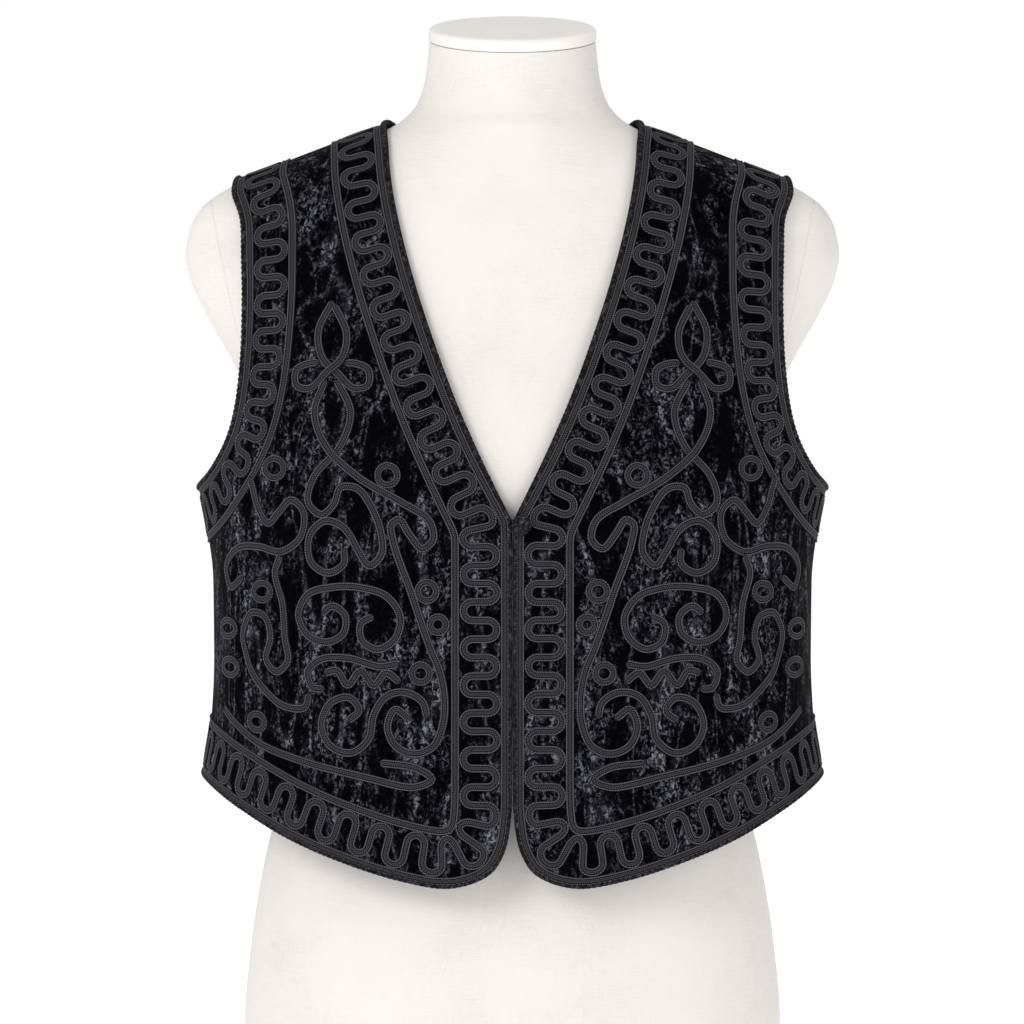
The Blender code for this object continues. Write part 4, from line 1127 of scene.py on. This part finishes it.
def crushed_velvet():
    """Black velvet whose crushed pile catches light in crisp blue-grey flecks, painted into its colour:
    painted sheen.

    The painted flecks gather in upright patches and along thin wandering crests, where |noise - 0.5| is near
    zero, and there are more of them lower down, below the chest."""
    made = Finish("crushed_velvet", 0.62, 0.008)
    patches = made.noise((0.0105, 0.0105, 0.024), 3.5, 0.6, 0.7)
    flecks = made.noise((0.0021, 0.0021, 0.0028), 3.0, 0.62, 0.9)
    broad = made.noise((0.045, 0.045, 0.09), 2.0, 0.5)
    drawn = made.noise((0.030, 0.030, 0.16), 2.0, 0.5, 0.35)
    drawn = made.sums("ABSOLUTE", made.less(drawn, 0.5))
    crest = made.ramp(drawn, (0.0, 1.0), (0.010, 0.7), (0.030, 0.0))
    height = made.split()[2]
    # painted sheen: the painted flecks are brighter low down and dimmer from the chest up
    painted_sheen_by_height = made.ramp(height, (0.0, 0.94), (0.30, 0.92), (0.52, 0.80))
    gathered = made.plus(made.times(patches, 0.70), made.times(broad, 0.30))
    gathered = made.ramp(gathered, (0.46, 0.0), (0.56, 0.75), (0.64, 1.0))
    crisp = made.ramp(flecks, (0.43, 0.0), (0.52, 0.28), (0.62, 1.0))
    spread = made.times(made.plus(made.times(gathered, 0.70), 0.05), crisp)
    ridge = made.times(crest, made.plus(made.times(crisp, 0.45), 0.12))
    lit = made.times(made.plus(spread, ridge), painted_sheen_by_height)
    # painted sheen: the blue-grey end of this ramp is the pile painted as catching light
    colour = made.ramp(
        lit, (0.0, (0.0007, 0.0007, 0.0010)), (0.08, (0.004, 0.004, 0.0055)),
        (0.32, (0.034, 0.035, 0.043)), (0.9, (0.175, 0.180, 0.205)),
    )
    pile = made.plus(patches, made.times(flecks, 0.5))
    crush = made.bump(made.plus(pile, made.times(crest, 0.6)), 0.0022, 0.6)
    nap = made.noise((0.0007, 0.0007, 0.0010), 2.0, 0.6)
    made.set("Sheen Weight", 0.008)
    made.set("Sheen Roughness", 0.35)
    made.set("Sheen Tint", (0.72, 0.75, 0.9, 1))
    return made.finish(colour, made.bump(nap, 0.0004, 0.5, crush))


def rolled_velvet():
    """The velvet of the rolled edges and the button, darker and broken by its stitches."""
    made = Finish("rolled_velvet", 0.6, 0.06)
    flecks = made.noise((0.0022, 0.0022, 0.0026), 4.0, 0.65, 0.5)
    colour = made.ramp(
        flecks, (0.42, (0.003, 0.003, 0.0038)), (0.56, (0.020, 0.020, 0.0245)), (0.68, (0.075, 0.076, 0.088))
    )
    made.set("Sheen Weight", 0.025)
    made.set("Sheen Roughness", 0.35)
    made.set("Sheen Tint", (0.72, 0.75, 0.9, 1))
    return made.finish(colour, made.bump(flecks, 0.0011, 0.6))


def laid_braid():
    """Flat charcoal braid: a pale outline cord on each side and two rows of tiny dark stitches between.

    off = |share across - 0.5| * 2 runs from the middle to either side, and a ramp on it paints the cords,
    with painted shade in the grooves between them and down the braid's sides.
    The stitches are waves along the length, half a stitch apart in the two rows. A slanting wave, the sine
    of the length and 9 times off, beads the outline cords."""
    made = Finish("laid_braid", 0.75, 0.12)
    spot = made.split("UV")
    across, along = spot[0], spot[1]
    off = made.times(made.sums("ABSOLUTE", made.less(across, 0.5)), 2.0)
    # painted shade: this ramp paints the grooves between the cords and the braid's sides black, and its
    # middle groove dark
    cords_and_groove_shade = made.ramp(
        off, (0.0, 0.22), (0.09, 0.66), (0.32, 0.70), (0.41, 0.0), (0.58, 0.0), (0.65, 0.82),
        (0.83, 0.87), (0.91, 0.38), (0.97, 0.0),
    )
    rows = made.ramp(off, (0.02, 0.0), (0.10, 1.0), (0.32, 1.0), (0.42, 0.0))
    step = made.times(along, 2 * math.pi / STITCH_PITCH)
    step = made.plus(step, made.times(made.sums("GREATER_THAN", across, 0.5), math.pi))
    stitch = made.ramp(made.sums("SINE", step), (0.0, 0.0), (0.5, 1.0))
    fibres = made.noise((0.0008, 0.0008, 0.0008), 3.0, 0.6)
    turns = made.times(along, 2 * math.pi / TWIST_PITCH)
    twist = made.sums("SINE", made.plus(turns, made.times(off, 9.0)))
    shade = made.less(cords_and_groove_shade, made.times(made.times(stitch, rows), 0.66))
    shade = made.plus(shade, made.times(made.less(fibres, 0.5), 0.45))
    outline = made.ramp(off, (0.52, 0.0), (0.64, 1.0))
    shade = made.plus(shade, made.times(made.times(twist, outline), 0.34))
    colour = made.ramp(
        shade, (0.0, (0.0015, 0.0014, 0.0018)), (0.18, (0.0070, 0.0064, 0.0080)),
        (0.52, (0.036, 0.033, 0.040)), (1.0, (0.122, 0.117, 0.129)),
    )
    made.set("Sheen Weight", 0.02)
    made.set("Sheen Roughness", 0.5)
    return made.finish(colour, made.bump(shade, 0.0005, 0.6))


def cream_linen():
    """Off-white linen drawn tight: threads of uneven thickness both ways, and a seam over each stump.

    The seam is 1 less the distance from its leaning line over its width, and 0 where that is below 0 or
    the place is lower than its foot."""
    made = Finish("cream_linen", 0.85, 0.25)
    warp = made.noise((0.0009, 0.014, 1.0), 3.0, 0.6, output="UV")
    weft = made.noise((0.014, 0.0009, 1.0), 3.0, 0.6, output="UV")
    cloudy = made.noise((0.06, 0.06, 0.06), 3.0, 0.5)
    weave = made.times(made.plus(warp, weft), 0.5)
    spot = made.split()
    lean = made.times(made.less(spot[2], STUMP_SEAM[1]), STUMP_SEAM[2])
    off = made.less(made.sums("ABSOLUTE", spot[0]), made.plus(lean, STUMP_SEAM[0]))
    line = made.times(made.sums("ABSOLUTE", off), 1 / SEAM_WIDTH)
    above = made.sums("GREATER_THAN", spot[2], SEAM_FOOT)
    line = made.times(made.less(1.0, made.sums("MINIMUM", line, 1.0)), above)
    tone = made.plus(made.times(weave, 0.6), made.times(cloudy, 0.4))
    tone = made.less(tone, made.times(line, 0.14))
    colour = made.ramp(
        tone, (0.25, (0.66, 0.627, 0.580)), (0.5, (0.78, 0.752, 0.710)), (0.75, (0.827, 0.804, 0.766))
    )
    height = made.less(weave, line)
    return made.finish(colour, made.bump(height, 0.0004, 0.5))


def cream_lacquer():
    """Satin cream lacquer, faintly uneven."""
    made = Finish("cream_lacquer", 0.32, 0.5)
    fine = made.noise((0.02, 0.02, 0.02), 3.0, 0.5)
    colour = made.ramp(fine, (0.3, (0.87, 0.84, 0.785)), (0.7, (0.90, 0.87, 0.815)))
    made.set("Coat Weight", 0.25)
    made.set("Coat Roughness", 0.2)
    return made.finish(colour, made.bump(fine, 0.0003, 0.3))


def pale_floor():
    """A pale, even floor."""
    made = Finish("pale_floor", 0.9, 0.1)
    fine = made.noise((0.3, 0.3, 0.3), 2.0, 0.5)
    made.set("Emission Color", (1, 1, 1, 1))
    made.set("Emission Strength", FLOOR_GLOW)
    return made.finish(made.ramp(fine, (0.3, (0.90, 0.90, 0.90)), (0.7, (0.92, 0.92, 0.92))))


def floor():
    """A wide round floor, rings of points about the middle."""
    turn = round_turn(64)
    reach = np.array((0.5, 2.0, 6.0, 14.0))[:, None]
    level = np.full((len(reach), len(turn)), FLOOR_LEVEL)
    points = np.stack([reach * np.cos(turn), reach * np.sin(turn), level], axis=2)
    rows, cols = level.shape
    middle = end_faces(1, cols)[: cols // 2 - 1, ::-1]
    faces = np.vstack([grid_faces(rows, cols, around=True), middle])
    mesh = bpy.data.meshes.new("floor")
    mesh.from_pydata(points.reshape(-1, 3).tolist(), [], faces.tolist())
    mesh.materials.append(pale_floor())
    made = added("floor", mesh)


def soft_light(name, place, size, power, target):
    """A round lamp at a place, turned to shine at another."""
    lamp = bpy.data.lights.new(name, "AREA")
    lamp.shape = "DISK"
    lamp.size = size
    lamp.energy = power
    made = added(name, lamp)
    made.location = place
    made.rotation_euler = (Vector(target) - Vector(place)).to_track_quat("-Z", "Y").to_euler()


def studio():
    """White surroundings that light the object less than they are seen to, and three large soft lamps."""
    world = bpy.data.worlds.new("studio")
    bpy.context.scene.world = world
    world.use_nodes = True
    nodes, links = world.node_tree.nodes, world.node_tree.links
    path = nodes.new("ShaderNodeLightPath")
    light = nodes["Background"]
    light.inputs["Color"].default_value = (1, 1, 1, 1)
    light.inputs["Strength"].default_value = SURROUND
    seen = nodes.new("ShaderNodeBackground")
    seen.inputs["Color"].default_value = (1, 1, 1, 1)
    mix = nodes.new("ShaderNodeMixShader")
    links.new(path.outputs["Is Camera Ray"], mix.inputs["Fac"])
    links.new(light.outputs[0], mix.inputs[1])
    links.new(seen.outputs[0], mix.inputs[2])
    links.new(mix.outputs[0], nodes["World Output"].inputs["Surface"])
    for lamp in LAMPS:
        soft_light(*lamp)
    bpy.context.scene.view_settings.view_transform = "Standard"


def camera():
    """A long lens, level with the chest and a little above it."""
    lens = bpy.data.cameras.new("camera")
    lens.sensor_width = SENSOR_WIDTH
    lens.lens = SENSOR_WIDTH * CAMERA_AWAY / (PIXELS * METRES_A_PIXEL)
    lens.shift_x = -0.5 / PIXELS
    made = added("camera", lens)
    rise = math.radians(CAMERA_RISE)
    made.location = (0, -CAMERA_AWAY * math.cos(rise), TARGET_HEIGHT + CAMERA_AWAY * math.sin(rise))
    made.rotation_euler = (math.pi / 2 - rise, 0, 0)
    bpy.context.scene.camera = made


camera()
studio()
floor()

velvet = crushed_velvet()
roll = rolled_velvet()
braid = laid_braid()

dress_form(cream_linen())
neck_cap(cream_lacquer())

border = border_edge()
armhole = armhole_edge()
cut_edges = np.vstack([border[::3], armhole[::3], mirrored(armhole[::3])])
left_grid = front_grid()
front_left = velvet_panel("front_left", left_grid, -1, cut_edges, velvet)
front_right = velvet_panel("front_right", mirrored(left_grid), -1, cut_edges, velvet)
back = velvet_panel("back", back_grid(), 1, cut_edges, velvet)

full = np.clip((border[:, 2] - NARROW_RISE[0]) / (NARROW_RISE[1] - NARROW_RISE[0]), 0, 1)
narrowing = NARROW_SHARE + (1 - NARROW_SHARE) * full
even = np.ones(len(armhole))
border_trim, border_line = band("border", border, narrowing, cut_edges, braid, roll, 3)
left_trim, left_line = band("armhole_left", armhole, even, cut_edges, braid, roll, 5)
right_trim, right_line = band("armhole_right", mirrored(armhole)[::-1], even, cut_edges, braid, roll, 7)
left_trim += scrolls("left", 1, cut_edges, braid, np.vstack([border_line, left_line]))
right_trim += scrolls("right", -1, cut_edges, braid, np.vstack([border_line, right_line]))
left_trim.append(button(roll))
